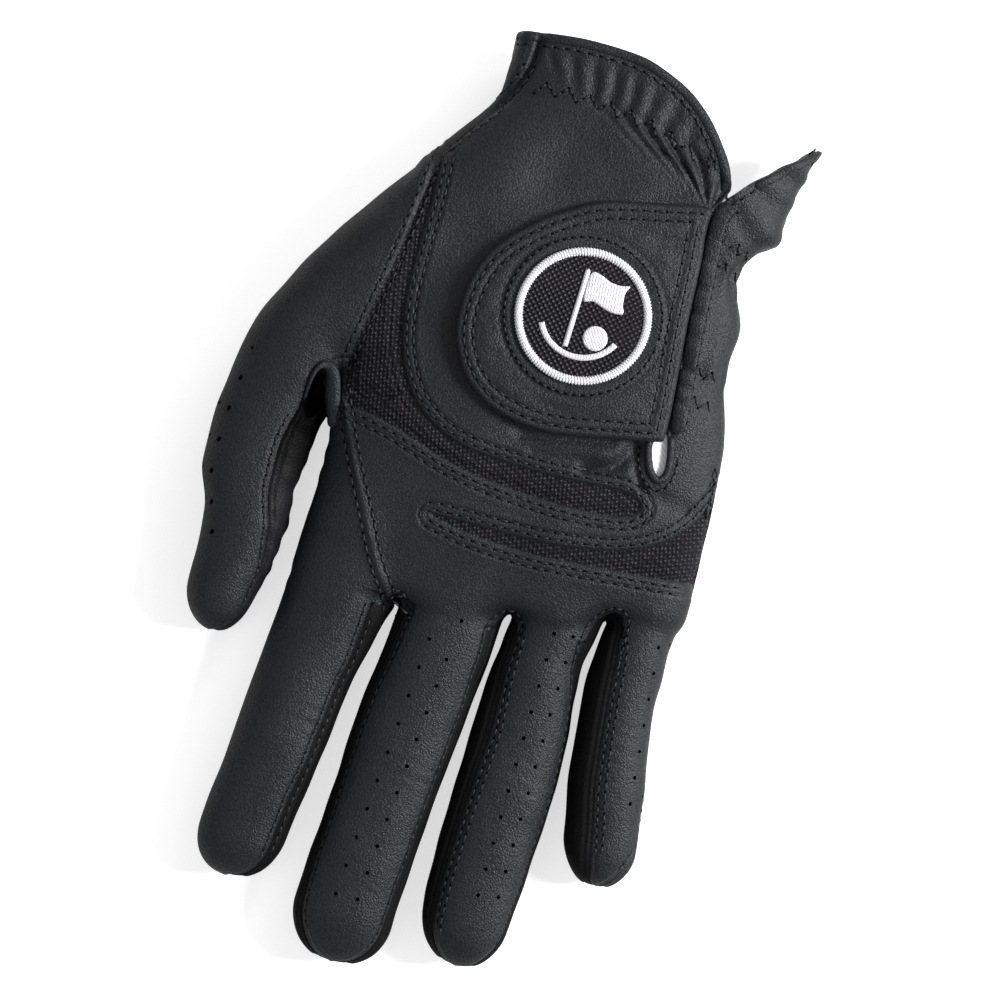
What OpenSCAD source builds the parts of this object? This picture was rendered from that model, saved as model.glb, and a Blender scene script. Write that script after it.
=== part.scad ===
// Golf glove for the left hand, lying palm down with the fingers towards -Y and the thumb at -X.
// Every cut piece of leather, mesh, tape and trim is its own solid.
// Origin: middle of the palm, on the flat face the glove rests on. +Z is the back of the hand.

/* [Hand] */
// Thickness of the stuffed hand at its crown
hand_h = 25; // [22:0.5:30]
// Thickness of the hand where the fingers start
knuckle_h = 18.5; // [17:0.5:22]
// Thickness of the hand at the cuff
cuff_h = 21; // [18:0.5:26]
// Width of the palm across the knuckles
palm_w = 94; // [86:1:100]
// How square the sections are, 2 is an ellipse
squareness = 3; // [2.4:0.1:4]

/* [Fingers] */
// Height of a finger stall
finger_h = 17; // [15:0.5:18]
// Length of the index finger from its crotch seam
index_len = 73; // [60:1:80]
// Length of the middle finger from its crotch seam
middle_len = 86; // [70:1:92]
// Length of the ring finger from its crotch seam
ring_len = 81; // [66:1:88]
// Length of the little finger from its crotch seam
little_len = 60; // [48:1:66]
// Width of the middle finger, the others follow it
finger_w = 25; // [22:0.5:26]
// Share of a finger's length that lies behind its middle crease
crease_at = 0.42; // [0.35:0.01:0.5]

/* [Thumb] */
// Length of the free part of the thumb
thumb_len = 65; // [54:1:72]
// Width of the thumb
thumb_w = 24; // [20:0.5:26]
// Height of the thumb
thumb_h = 18; // [16:0.5:19]

/* [Closure] */
// Height of the closure tab along the slit
tab_len = 57; // [52:1:58]
// Reach of the closure tab across the back of the hand
tab_reach = 54; // [44:1:58]
// Radius of the round badge
badge_r = 17; // [12:0.5:18]

/* [Leather and trim] */
// Thickness of the leather
leather_t = 1.0; // [0.8:0.05:1.2]
// Thickness of the knitted mesh
mesh_t = 0.8; // [0.6:0.05:1]
// Width of the folded edge binding
binding_w = 3; // [2:0.25:4]
// Width of the elastic tapes
elastic_w = 7; // [5:0.5:9]
// Air left between pieces that are sewn side by side
seam_gap = 0.26; // [0.2:0.01:0.3]
// Half of the air left at each bending crease
crease_gap = 0.3; // [0.2:0.05:0.5]

/* [Hidden] */
$fn = 32;

leather_color = [0.17, 0.18, 0.20];
mesh_color = [0.10, 0.09, 0.11];
trim_color = [0.12, 0.12, 0.13];
white_color = [0.90, 0.90, 0.92];

// The outlines and cut lines are drawn for a palm 94 wide. Their x follows the palm width.
palm_scale = palm_w / 94;
half_split = 0.05;     // air on each side of mid-height, between upper and lower pieces
mesh_drop = 0.1;       // depth of the mesh below the leather's face
underside_bulge = 1.06; // extra depth of the lower half, which flattens it on the ground
palm_trim_z = leather_t + 0.15; // underside of trim inside the palm leather
front_middle = -50.6;  // front edge of the palm at the index and middle fingers
front_ring = -48.1;    // the same at the ring finger
front_little = -41.1;  // the same at the little finger
thumb_front = -1.6;    // where the thumb root begins
thumb_back = 66;       // where the thumb root has run out
wrap_end = -5.5;       // where the palm leather stops wrapping over the back
side_x = 49.5;         // just past the +X outline, so that a cut line ends on the outline

// ---- Shape of the hand ----

// Side outlines, as [y, x]. back_left runs on under the thumb root, to keep the back one arch.
back_left = [[-60, -45.5], [-30, -45.6], [-12, -47], [-4, -49], [-1.6, -50.5], [19, -53],
    [40, -51], [57, -46], [66, -36.6], [76, -30.2], [94, -32]];
palm_left = [[-60, -45.5], [-30, -45.6], [-12, -47], [-4, -49], [-1.6, -49.6], [8, -46],
    [22, -40], [40, -35], [58, -32], [70, -31.5], [76, -30.2], [94, -32]];
root_left = [[-4, -73], [0, -73], [7, -71], [22, -64], [49, -48], [58, -40.8],
    [66, -36.8], [76, -30.2]];
right_edge = [[-60, 48.5], [-30, 48.6], [-24, 47.8], [-3, 46.8], [21, 45], [38, 42],
    [46, 39], [55, 40], [62, 44], [85, 48], [94, 49]];
// Half thickness of the hand, as [y, half height]
half_height = [[-60, knuckle_h / 2], [-48, knuckle_h / 2], [-20, hand_h / 2 - 0.8],
    [10, hand_h / 2], [35, hand_h / 2], [70, cuff_h / 2 + 0.6], [94, cuff_h / 2]];
// Seams on the back, as [y, x]
thumb_seam = [[-1.6, -48.5], [19, -45], [40, -41.5], [57, -40.2], [66, -36.7]];
wrap_seam = [[-51, -20.5], [-50.6, -20.5], [-26.6, -34.5], [-17, -39.7], [-5.5, -46.3]];

function lerp(a, b, t) = a + (b - a) * t;
function clamp_unit(t) = max(0, min(1, t));
function signed_pow(value, power) = sign(value) * pow(abs(value), power);
// Height of a superellipse of unit half axes at distance t from its middle
function arch(t) = pow(max(0, 1 - pow(min(1, abs(t)), squareness)), 1 / squareness);

function outline_x(outline, y) = palm_scale * lookup(y, outline);
function right_x(y) = outline_x(right_edge, y);
function half_h(y) = lookup(y, half_height);
function mid_x(y) = (right_x(y) + outline_x(back_left, y)) / 2;
function half_w(y) = (right_x(y) - outline_x(back_left, y)) / 2;

// A point on the back: angle runs from -90 at the left (-X) outline to 90 at the right,
// and offset moves it outwards.
function back_point(angle, y, offset) = [
    mid_x(y) + (half_w(y) + offset) * sin(angle),
    y,
    half_h(y) + half_split + (half_h(y) + offset) * arch(sin(angle))];
// The angle at which the back passes over a plan point [x, y]
function angle_over(p) =
    asin(max(-1, min(1, (palm_scale * p[0] - mid_x(p[1])) / half_w(p[1]))));
function seam_angle(seam, y) = angle_over([lookup(y, seam), y]);
// Height of the underside, with t from 0 in the middle to 1 or -1 at the outline
function underside_z(t, y, offset) =
    max(-offset, half_h(y) - half_split - (half_h(y) * underside_bulge + offset) * arch(t));

// ---- Solids from grids of points ----

// Closes a grid of outer points and one of inner points into a thin solid.
module skin(outer, inner) {
    cols = len(outer[0]);
    rows = len(outer);
    k = cols * rows; // index of the first inner point
    polyhedron(
        points = [each [for (row = outer) each row], each [for (row = inner) each row]],
        faces = [
            // Both faces
            for (j = [0:rows - 2]) for (i = [0:cols - 2])
                let (a = j * cols + i, b = a + 1, c = a + cols, d = c + 1)
                each [[a, b, d], [a, d, c], [k + a, k + d, k + b], [k + a, k + c, k + d]],
            // Edges at the two ends of every row
            for (j = [0:rows - 2])
                let (a = j * cols, c = a + cols, b = c - 1, d = b + cols)
                each [[a, c, k + c], [a, k + c, k + a], [b, k + d, d], [b, k + b, k + d]],
            // Edges along the first and last row
            for (i = [0:cols - 2])
                let (a = (rows - 1) * cols + i)
                each [[i, k + i + 1, i + 1], [i, k + i, k + i + 1],
                    [a, a + 1, k + a + 1], [a, k + a + 1, k + a]]
        ],
        convexity = 6);
}

// A piece on the back, ruled between two cut lines with the same number of plan points [x, y].
// It lies between the offsets outer and inner, and stops half a seam gap short of each line.
module patch(from, to, steps, outer = 0, inner = -leather_t) {
    function ruled(p, q, t, offset) =
        let (
            margin = min(0.4, seam_gap / 2 / max(0.3, norm(q - p))),
            share = lerp(margin, 1 - margin, t)
        )
        back_point(lerp(angle_over(p), angle_over(q), share), lerp(p[1], q[1], share), offset);
    function grid(offset) = [for (i = [0:len(from) - 1])
        [for (j = [0:steps]) ruled(from[i], to[i], j / steps, offset)]];
    skin(grid(outer), grid(inner));
}

// The same line with k points for every one it had
function dense(line, k) = [
    for (i = [0:len(line) - 2]) for (j = [0:k - 1]) lerp(line[i], line[i + 1], j / k),
    line[len(line) - 1]];
function shifted(line, by) = [for (p = line) p + by];

// ---- Back of the hand. Cut lines are plan points [x, y]. ----

// Rounded edge of the wrist piece
contour = [[-40.1, 57.2], [-38.9, 40], [-38, 21], [-35, 9.4], [-28.5, -1.2], [-17.7, -7.9],
    [-4.6, -9.6], [8, -9.8], [18, -9.8], [26, -9.9], [30.6, -9.6], [34, -6]];
// Its cuff and slit edge
cuff_line = [[-36.4, 66.6], [-30.1, 76], [-31.6, 91.4], [-22, 92.4], [-10, 93], [3, 92.4],
    [12, 90], [21, 84], [26.2, 76], [28.2, 66], [30.2, 38], [32.1, 6]];
// Far edge of the mesh that borders the contour
mesh_low = [[-40.5, 56.9], [-41.5, 40], [-45, 19], [-48.4, 0], [-45.8, -5.1], [-30, -8.7],
    [-16, -12.7], [-3, -14.5], [12, -14.9], [24, -13.7], [30.5, -10.5]];
mesh_high = [for (i = [0:len(mesh_low) - 1]) contour[i]];
// Finger side and wrist side of the mesh dart across the knuckles
dart_low = [[-16.5, -26.6], [-6.4, -28.3], [6, -28.7], [21, -27.6], [35.6, -26],
    [42, -24.8], [49.5, -24]];
dart_high = [[-16.5, -26.2], [-6, -25.9], [5, -25.1], [17, -24], [29, -21.7],
    [38, -17.3], [49.5, -6]];
// Finger side and wrist side of the knuckle piece
knuckle_low = [[-45.9, -5.6], [-39.4, -17], [-34.2, -26.4], [-25, -26.4],
    for (i = [0:5]) dart_high[i], [44, -12], dart_high[6]];
knuckle_high = [[-45.8, -5.5], [-38, -7.2], [-30, -9], [-22, -11], [-16, -13], [-3, -14.8],
    [12, -15.2], [24, -14], [30.8, -10.4], [34.2, -6], [35, -1.5], [side_x, -1.5]];
// Finger side and wrist side of the piece the fingers grow from
root_low = [
    for (x = [-20.2, -13, -6, 1, 8.5]) [x, front_middle],
    for (x = [8.7, 16, 24, 31.3]) [x, front_ring],
    for (x = [31.5, 38, side_x]) [x, front_little]];
root_high = [[-34.2, -26.6], [-25, -26.6], [-16.5, -26.8], dart_low[1], dart_low[2],
    [10, -28.4], [16, -28], [24, -27.3], [31, -26.5], dart_low[4], dart_low[5], dart_low[6]];

// Wrist piece
module back_panel() {
    color(leather_color) patch(dense(contour, 3), dense(cuff_line, 3), steps = 16);
}

module knuckle_panel() {
    color(leather_color) patch(dense(knuckle_low, 2), dense(knuckle_high, 2), steps = 6);
}

module finger_root_panel() {
    color(leather_color) patch(root_low, root_high, steps = 6);
}

module mesh_patch(from, to) {
    patch(dense(from, 3), dense(to, 3), steps = 4, outer = -mesh_drop, inner = -mesh_drop - mesh_t);
}

module thumb_mesh_insert() {
    color(mesh_color) mesh_patch(mesh_low, mesh_high);
}

module knuckle_mesh_insert() {
    color(mesh_color)
        patch(dart_low, dart_high, steps = 4, outer = -mesh_drop, inner = -mesh_drop - mesh_t);
}

// The fold line that the flap turns about runs straight from the end of the slit to the cuff.
function fold_line(ys, inset = 0) = [for (y = ys) [33.85 + (y + 2) * 5 / 82 - inset, y]];

// The +X side of the cuff, between the fold line and the outer edge
module ulnar_panel() {
    shared_ys = [-1.3, 20, 38, 46, 55, 62];
    color(leather_color)
        patch(fold_line([each shared_ys, 74]), [for (y = [each shared_ys, 84]) [side_x, y]],
            steps = 5);
}

// ---- Palm and thumb root ----

// The front edge of the palm steps back at the ring and little fingers.
function palm_front(x) =
    x > 25 * palm_scale ? front_little : x > 4 * palm_scale ? front_ring : front_middle;
// How far the -X side turns up: 0 along the thumb root, 1 well in front of it and behind it
function curl(y) = clamp_unit((thumb_front - y) / 3.6) + clamp_unit((y - thumb_back) / 8);
// A point on the palm leather, with t from -1 at the left outline to 1 at the right
function palm_point(t, y, offset) =
    let (rise = underside_z(t, y, offset))
    t >= 0
        ? [(right_x(y) + offset) * t, y, rise]
        : [(offset * curl(y) - outline_x(palm_left, y)) * t, y, lerp(-offset, rise, curl(y))];

// Flat in the middle and turned up at the sides. In front of the thumb it runs on round
// the side and over the index knuckle.
module palm_panel() {
    ys = [front_middle, -40, -30, -20, -12, -5.6, -3.6, thumb_front,
        8, 22, 40, 55, thumb_back, 74, 81, 88];
    across_steps = 20;
    wrap_steps = 6;
    // Behind wrap_end the wrap shrinks to a sliver, as every row needs the same number of points.
    function wrap_point(y, offset, i) = y < wrap_end
        ? back_point(lerp(-90, seam_angle(wrap_seam, y) - 0.2, i / wrap_steps), y, offset)
        : palm_point(-1, y, offset) + 0.04 * (i + 0.5) * [curl(y) - 1, 0, curl(y)];
    function row(y, offset) = [
        for (i = [0:across_steps])
            let (t = sin(lerp(90, -90, i / across_steps)))
            palm_point(t, max(y, palm_front(right_x(y) * t)), offset),
        for (i = [1:wrap_steps]) wrap_point(y, offset, i)];
    color(leather_color) skin([for (y = ys) row(y, 0)], [for (y = ys) row(y, -leather_t)]);
}

root_steps = 8;

// Upper piece of the thumb root, rising from the side outline to the thumb seam
module thumb_root_outer() {
    ys = [thumb_front, 7, 19, 30, 40, 49, 57, 63];
    function point(t, y, offset) =
        let (
            side = outline_x(root_left, y) - offset,
            seam = outline_x(thumb_seam, y) - seam_gap / 2,
            top = back_point(seam_angle(thumb_seam, y), y, offset)[2],
            base = half_h(y) + half_split
        )
        [lerp(seam, side, t), y, base + (top - base) * arch(t)];
    function row(y, offset) =
        [for (i = [0:root_steps]) point(sin(90 * (1 - i / root_steps)), y, offset)];
    color(leather_color) skin([for (y = ys) row(y, 0)], [for (y = ys) row(y, -leather_t)]);
}

// Lower piece of the thumb root, lying flat towards the palm
module thumb_root_inner() {
    ys = [thumb_front, 8, 22, 32, 40, 49, 56, 62];
    function point(t, y, offset) =
        let (
            side = outline_x(root_left, y) - offset,
            seam = outline_x(palm_left, y) - 0.5
        )
        [lerp(seam, side, t), y, underside_z(t, y, offset)];
    function row(y, offset) =
        [for (i = [0:root_steps]) point(sin(90 * i / root_steps), y, offset)];
    color(leather_color) skin([for (y = ys) row(y, 0)], [for (y = ys) row(y, -leather_t)]);
}

// Lens-shaped gusset in the fold between the thumb and the hand
module thumb_quirk() {
    lens_r = 10.4;
    lens_shift = 8.4;
    color(leather_color)
        translate([-48.4 * palm_scale, -1.0, 8.2]) rotate([90, 0, 0]) linear_extrude(0.5)
            intersection() {
                translate([lens_shift, 0]) circle(lens_r, $fn = 64);
                translate([-lens_shift, 0]) circle(lens_r, $fn = 64);
            }
}

// The closed end of each fork strip, between two fingers
module crotch_gussets() {
    // x, y of the front end, length along y
    forks = [[-20.2, front_middle, 4.2], [7.2, front_middle, 4.2], [30.75, front_ring, 6.6]];
    color(trim_color) for (fork = forks)
        translate([fork[0] * palm_scale - 0.4, fork[1], 2.4])
            cube([0.7, fork[2], knuckle_h - 5.6]);
}

// ---- Finger and thumb stalls ----

// Columns of a stall: x and y of its base, length, width, height, tilt of the axis,
// roll of the seams, and share of the length behind the crease
BASE_X = 0;
BASE_Y = 1;
LENGTH = 2;
WIDTH = 3;
HEIGHT = 4;
TILT = 5;
ROLL = 6;
CREASE = 7;
index = [-33.2 * palm_scale, -51, index_len, finger_w * 0.92, finger_h, -4.2, 7, crease_at];
middle = [-6.4 * palm_scale, -51, middle_len, finger_w, finger_h, -1.8, 0, crease_at];
ring = [19.2 * palm_scale, -48.5, ring_len, finger_w * 0.88, finger_h, 0.8, -5, crease_at];
little = [40.4 * palm_scale, -41.5, little_len, finger_w * 0.73, finger_h, 7.6, -8, crease_at];
thumb = [-61.5 * palm_scale, -2, thumb_len, thumb_w, thumb_h, 0.8, 0, 0.34];

tip_height = 0.92;     // height at the tip, as a share of the height at the base
stall_lift = 0.1;      // clearance under a stall
strip_margin = 0.6;    // degrees left free at each long edge of a strip
gusset_angle = 28;     // half of the angle that a side gusset covers

// Distance from the base at which the rounded tip begins
function cap_start(stall) = stall[LENGTH] - stall[WIDTH] / 2;
// Share of the full section at distance u from the base
function tip_round(stall, u) = u < cap_start(stall)
    ? 1
    : sqrt(max(0.0016, 1 - pow((u - cap_start(stall)) / (stall[WIDTH] / 2), 2)));
// A point at distance u from the base and at an angle around the axis, 0 at +X and 90 on top
function stall_point(stall, u, angle, offset) =
    let (
        full = tip_round(stall, u),
        half_width = stall[WIDTH] / 2 * full + offset,
        half_depth = stall[HEIGHT] / 2 * lerp(1, tip_height, u / stall[LENGTH]) * full + offset
    )
    [stall[BASE_X] + u * tan(stall[TILT])
            + max(0.2, half_width) * signed_pow(cos(angle), 2 / squareness),
        stall[BASE_Y] - u,
        stall[HEIGHT] / 2 + stall_lift
            + max(0.2, half_depth) * signed_pow(sin(angle), 2 / squareness)];

// A strip of one stall between two angles, either from base to crease or from crease to tip
module strip(stall, tip, from, to, steps) {
    crease = stall[LENGTH] * stall[CREASE];
    start = tip ? crease + crease_gap : crease_gap;
    end = tip ? stall[LENGTH] : crease - crease_gap;
    cap = cap_start(stall);
    stations = end < cap
        ? [start, end]
        : [start, for (i = [0:6]) lerp(cap, stall[LENGTH], sin(15 * i))];
    first = from + stall[ROLL] + strip_margin;
    last = to + stall[ROLL] - strip_margin;
    function arc(u, offset) =
        [for (i = [0:steps]) stall_point(stall, u, lerp(first, last, i / steps), offset)];
    // The inner face draws back over the cap, to leave leather at the very tip.
    function inner_u(u) =
        u - (u > cap ? leather_t * (u - cap) / (stall[LENGTH] - cap) : 0);
    skin([for (u = stations) arc(u, 0)], [for (u = stations) arc(inner_u(u), -leather_t)]);
}

module finger_back(finger, tip) {
    color(leather_color)
        strip(finger, tip, from = gusset_angle, to = 180 - gusset_angle, steps = 8);
}

module finger_palm(finger, tip) {
    color(leather_color)
        strip(finger, tip, from = 180 + gusset_angle, to = 360 - gusset_angle, steps = 8);
}

module finger_gussets(finger, tip) {
    color(trim_color) for (side = [0, 180])
        strip(finger, tip, from = side - gusset_angle, to = side + gusset_angle, steps = 4);
}

// Upper half of the thumb
module thumb_outer(tip) {
    color(leather_color) strip(thumb, tip, from = 0, to = 180, steps = 12);
}

// Lower half of the thumb
module thumb_inner(tip) {
    color(trim_color) strip(thumb, tip, from = 180, to = 360, steps = 12);
}

// ---- Closure ----

// The slit edge of the cuff, which is straight
function slit_x(y) = lookup(y, [[5, 32.6], [66, 28.6]]);

// The tab is straight along the slit and rounded at its free end.
tab_mid_y = 35.5;
tab_power = 2.4; // squareness of the free end
function tab_free_x(y, inset) =
    let (half = tab_len / 2, t = (y - tab_mid_y) / half)
    slit_x(36) - tab_reach + half + inset
        - half * pow(max(0.0004, 1 - pow(abs(t), tab_power)), 1 / tab_power);
function tab_slit_x(y, inset) = slit_x(y) - 0.7 - inset * 0.2;

module tab_layer(outer, inner, inset) {
    ys = [for (i = [0:16]) tab_mid_y - (tab_len / 2 - inset) * cos(180 * i / 16)];
    patch([for (y = ys) [tab_free_x(y, inset), y]], [for (y = ys) [tab_slit_x(y, inset), y]],
        steps = 10, outer = outer, inner = inner);
}

module tab_outer() {
    color(leather_color) tab_layer(outer = 3.0, inner = 2.05, inset = 0);
}

module tab_lining() {
    color(trim_color) tab_layer(outer = 2.0, inner = 1.5, inset = 1);
}

// Hook and loop pads with cut corners. The inset is from the edge of the loop pad.
module pad(inset, outer, inner) {
    corner = 4;
    left = -16 + inset;
    right = 20 - inset;
    front = 13 + inset;
    back = 55 - inset;
    ys = [front, for (i = [0:7]) lerp(front + corner, back - corner, i / 7), back];
    function cut(y) = max(0, corner - min(y - front, back - y));
    patch([for (y = ys) [left + cut(y), y]], [for (y = ys) [right - cut(y), y]],
        steps = 12, outer = outer, inner = inner);
}

module loop_pad() {
    color(trim_color) pad(inset = 0, outer = 0.7, inner = 0.2);
}

module hook_pad() {
    color(trim_color) pad(inset = 3, outer = 1.45, inner = 0.8);
}

// The side of the cuff that carries the tab, from the slit to the fold line
module flap_panel() {
    slit_side = [[29.3, 67.4], [30.7, 44], [31.9, 26], [33, 7]];
    fold_side = fold_line([72.8, 44, 26, 7], inset = 0.6);
    color(leather_color) patch(dense(slit_side, 4), dense(fold_side, 4), steps = 4);
}

module flap_binding() {
    w = binding_w;
    edge = [[29.6, 65], [30.9, 44], [32.3, 20]];
    far_edge = [[29.6 + w * 0.7, 66.4], [30.9 + w * 0.7, 44], [32.3 + w * 0.35, 20]];
    color(trim_color)
        patch(dense(edge, 4), dense(far_edge, 4), steps = 2, outer = 0.9, inner = 0.3);
}

// The badge lies flat on the tab: a disc, a raised rim and a raised ring around a dot.
badge_at = [4.9, 30.5, hand_h + 3.2];
badge_t = 0.5;

module badge_ground() {
    color(mesh_color) translate(badge_at) cylinder(h = badge_t, r = badge_r - 1.9, $fn = 64);
}

module badge_rim() {
    color(white_color)
        translate(badge_at - [0, 0, 0.05])
            rotate_extrude($fn = 64) translate([badge_r - 0.9, 0.9]) circle(0.85, $fn = 24);
}

module badge_emblem() {
    color(white_color) translate(badge_at + [0, 0, badge_t + 0.05]) {
        difference() {
            cylinder(h = 0.5, r = 7.6, $fn = 64);
            translate([0, 0, -1]) cylinder(h = 3, r = 4.6, $fn = 64);
        }
        cylinder(h = 0.5, r = 2.2, $fn = 48);
    }
}

// ---- Tapes, bindings and label ----

// Tape inside the back of the cuff
module dorsal_elastic() {
    edge = [[-22, 78], [20, 68]];
    color(trim_color)
        patch(edge, shifted(edge, [0, elastic_w]), steps = 6, outer = -1.4, inner = -2);
}

// Two tapes flat on the inside of the palm
module palm_elastic() {
    color(trim_color) for (y = [46, 62])
        translate([-18, y, palm_trim_z]) cube([40, elastic_w, 0.6]);
}

// Bound edge of the cuff on the back
module cuff_binding() {
    w = binding_w;
    inner_edge = [[-31.2, 91.4 - w], [-22, 92.4 - w], [-10, 93 - w], [3, 92.4 - w],
        [11, 90 - w], [18.6, 84 - 0.6 * w], [23.2, 76], [25.2, 67]];
    outer_edge = [[-31.4, 91.3], [-22, 92.3], [-10, 92.9], [3, 92.3],
        [12, 89.9], [20.9, 83.9], [26.1, 76], [28.1, 66]];
    color(trim_color)
        patch(dense(inner_edge, 3), dense(outer_edge, 3), steps = 3, outer = 0.95, inner = 0.35);
}

// Bound edge of the cuff on the palm side
module palm_binding() {
    color(trim_color) translate([-16, 88 - binding_w, palm_trim_z]) cube([42, binding_w, 0.6]);
}

module slit_binding() {
    edge = dense([[27.9, 65], [29.2, 44], [31.9, 7]], 5);
    color(trim_color)
        patch(shifted(edge, [-binding_w, 0]), edge, steps = 2, outer = -1.35, inner = -1.9);
}

module size_label() {
    color(white_color) translate([-4, 73, palm_trim_z]) cube([16, 9, 0.3]);
}

palm_panel();
back_panel();
knuckle_panel();
finger_root_panel();
ulnar_panel();
thumb_mesh_insert();
knuckle_mesh_insert();
thumb_root_outer();
thumb_root_inner();
thumb_quirk();
crotch_gussets();
loop_pad();
dorsal_elastic();
palm_elastic();
cuff_binding();
palm_binding();
slit_binding();
size_label();
flap_panel();
flap_binding();
tab_outer();
tab_lining();
hook_pad();
badge_ground();
badge_rim();
badge_emblem();
finger_back(index, tip = false);  // index_back_base
finger_palm(index, tip = false);  // index_palm_base
finger_gussets(index, tip = false);  // index_gussets_base
finger_back(index, tip = true);  // index_back_tip
finger_palm(index, tip = true);  // index_palm_tip
finger_gussets(index, tip = true);  // index_gussets_tip
finger_back(middle, tip = false);  // middle_back_base
finger_palm(middle, tip = false);  // middle_palm_base
finger_gussets(middle, tip = false);  // middle_gussets_base
finger_back(middle, tip = true);  // middle_back_tip
finger_palm(middle, tip = true);  // middle_palm_tip
finger_gussets(middle, tip = true);  // middle_gussets_tip
finger_back(ring, tip = false);  // ring_back_base
finger_palm(ring, tip = false);  // ring_palm_base
finger_gussets(ring, tip = false);  // ring_gussets_base
finger_back(ring, tip = true);  // ring_back_tip
finger_palm(ring, tip = true);  // ring_palm_tip
finger_gussets(ring, tip = true);  // ring_gussets_tip
finger_back(little, tip = false);  // little_back_base
finger_palm(little, tip = false);  // little_palm_base
finger_gussets(little, tip = false);  // little_gussets_base
finger_back(little, tip = true);  // little_back_tip
finger_palm(little, tip = true);  // little_palm_tip
finger_gussets(little, tip = true);  // little_gussets_tip
thumb_outer(tip = false);  // thumb_outer_base
thumb_inner(tip = false);  // thumb_inner_base
thumb_outer(tip = true);  // thumb_outer_tip
thumb_inner(tip = true);  // thumb_inner_tip
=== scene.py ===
"""A stuffed left-hand golf glove, lying palm down.

The palm rests on z = 0 and the back of the hand faces +z. The fingertips point to -y ("front"),
the cuff opens to +y ("rear"), the thumb is on the -x side ("left") and the little finger on +x.
All sizes are millimetres until mesh_object() and xyz() turn them into metres. Materials, lights
and camera are in metres.

The hand is a signed distance field. It is meshed once, given relief, then cut into panels.
"""
import math
import bpy
import numpy as np
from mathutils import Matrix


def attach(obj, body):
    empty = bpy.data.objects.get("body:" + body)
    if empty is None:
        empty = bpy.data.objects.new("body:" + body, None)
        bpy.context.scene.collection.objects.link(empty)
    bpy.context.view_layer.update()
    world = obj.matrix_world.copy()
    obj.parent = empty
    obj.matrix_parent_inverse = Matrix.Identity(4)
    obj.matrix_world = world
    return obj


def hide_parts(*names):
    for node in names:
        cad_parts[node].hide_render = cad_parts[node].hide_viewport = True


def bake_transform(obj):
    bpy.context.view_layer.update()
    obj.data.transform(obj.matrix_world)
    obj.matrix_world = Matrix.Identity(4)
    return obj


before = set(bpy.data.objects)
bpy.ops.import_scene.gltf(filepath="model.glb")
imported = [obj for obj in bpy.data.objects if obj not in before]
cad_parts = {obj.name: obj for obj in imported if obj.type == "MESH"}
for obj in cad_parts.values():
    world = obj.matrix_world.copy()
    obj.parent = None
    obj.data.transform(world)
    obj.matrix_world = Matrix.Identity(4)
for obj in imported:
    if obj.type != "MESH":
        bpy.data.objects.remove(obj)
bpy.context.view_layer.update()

import openvdb
from mathutils import Vector
from mathutils.bvhtree import BVHTree

MM = 0.001
LEATHER_THICK = 0.95
MESH_THICK = 0.7
GUSSET_THICK = 0.8

# ---------------------------------------------------------------------------
# 1. Small numeric tools
# ---------------------------------------------------------------------------


def smooth01(value):
    value = np.clip(value, 0, 1)
    return value * value * (3 - 2 * value)


def rise(value, start, end):
    """Smooth step from 0 at start to 1 at end; end may lie below start."""
    return smooth01((value - start) / (end - start))


def bell(offset, width):
    return np.exp(-(offset / width) ** 2)


def unit(vectors, floor=0.0):
    return vectors / np.maximum(np.linalg.norm(vectors, axis=-1, keepdims=True), floor)


def smooth_min(first, second, reach):
    share = np.clip(0.5 + 0.5 * (second - first) / reach, 0, 1)
    return second * (1 - share) + first * share - reach * share * (1 - share)


def soften(values, times):
    """Smooth an array along its first axis in place, ends held."""
    for _ in range(times):
        values[1:-1] = (values[:-2] + 2 * values[1:-1] + values[2:]) / 4


def noise(points, wavelength, seed, stretch=(1, 1, 1)):
    """Sum of nine random plane waves, roughly -1 to 1."""
    rng = np.random.default_rng(seed)
    out = np.zeros(len(points))
    scaled = points / np.array(stretch)
    for _ in range(9):
        heading = rng.normal(size=3)
        heading /= np.linalg.norm(heading)
        wave = wavelength * rng.uniform(0.75, 1.35)
        out += np.sin(scaled @ heading * (2 * math.pi / wave) + rng.uniform(0, 6.28))
    return out / math.sqrt(9 / 2)


def plan_noise(plan, wavelength, seed, stretch=(1, 1, 1)):
    return noise(np.c_[plan, np.zeros(len(plan))], wavelength, seed, stretch)


# ---------------------------------------------------------------------------
# 2. The stuffed shape, as a signed distance
# ---------------------------------------------------------------------------


def section_table(rows):
    """Stations (y, left x, right x, half height) as 400 samples of a monotone cubic.

    The rows of the result are y, centre x, half width and half height."""
    stations = np.array(sorted((y, (left + right) / 2, (right - left) / 2, height)
                               for y, left, right, height in rows), float)
    y = stations[:, 0]
    fine_y = np.linspace(y[0], y[-1], 400)
    gap = np.diff(y)
    i = np.clip(np.searchsorted(y, fine_y) - 1, 0, len(gap) - 1)
    t = (fine_y - y[i]) / gap[i]
    out = [fine_y]
    for value in stations.T[1:]:
        steep = np.diff(value) / gap
        before, after = steep[:-1], steep[1:]
        slope = np.zeros_like(value)
        slope[1:-1] = np.where(before * after > 0,
                               2 * before * after / (before + after + 1e-12), 0)
        slope[0], slope[-1] = steep[0], steep[-1]
        out.append(value[i] * (1 + 2 * t) * (1 - t) ** 2
                   + slope[i] * gap[i] * t * (1 - t) ** 2
                   + value[i + 1] * t * t * (3 - 2 * t)
                   + slope[i + 1] * gap[i] * t * t * (t - 1))
    return np.array(out)


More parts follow.
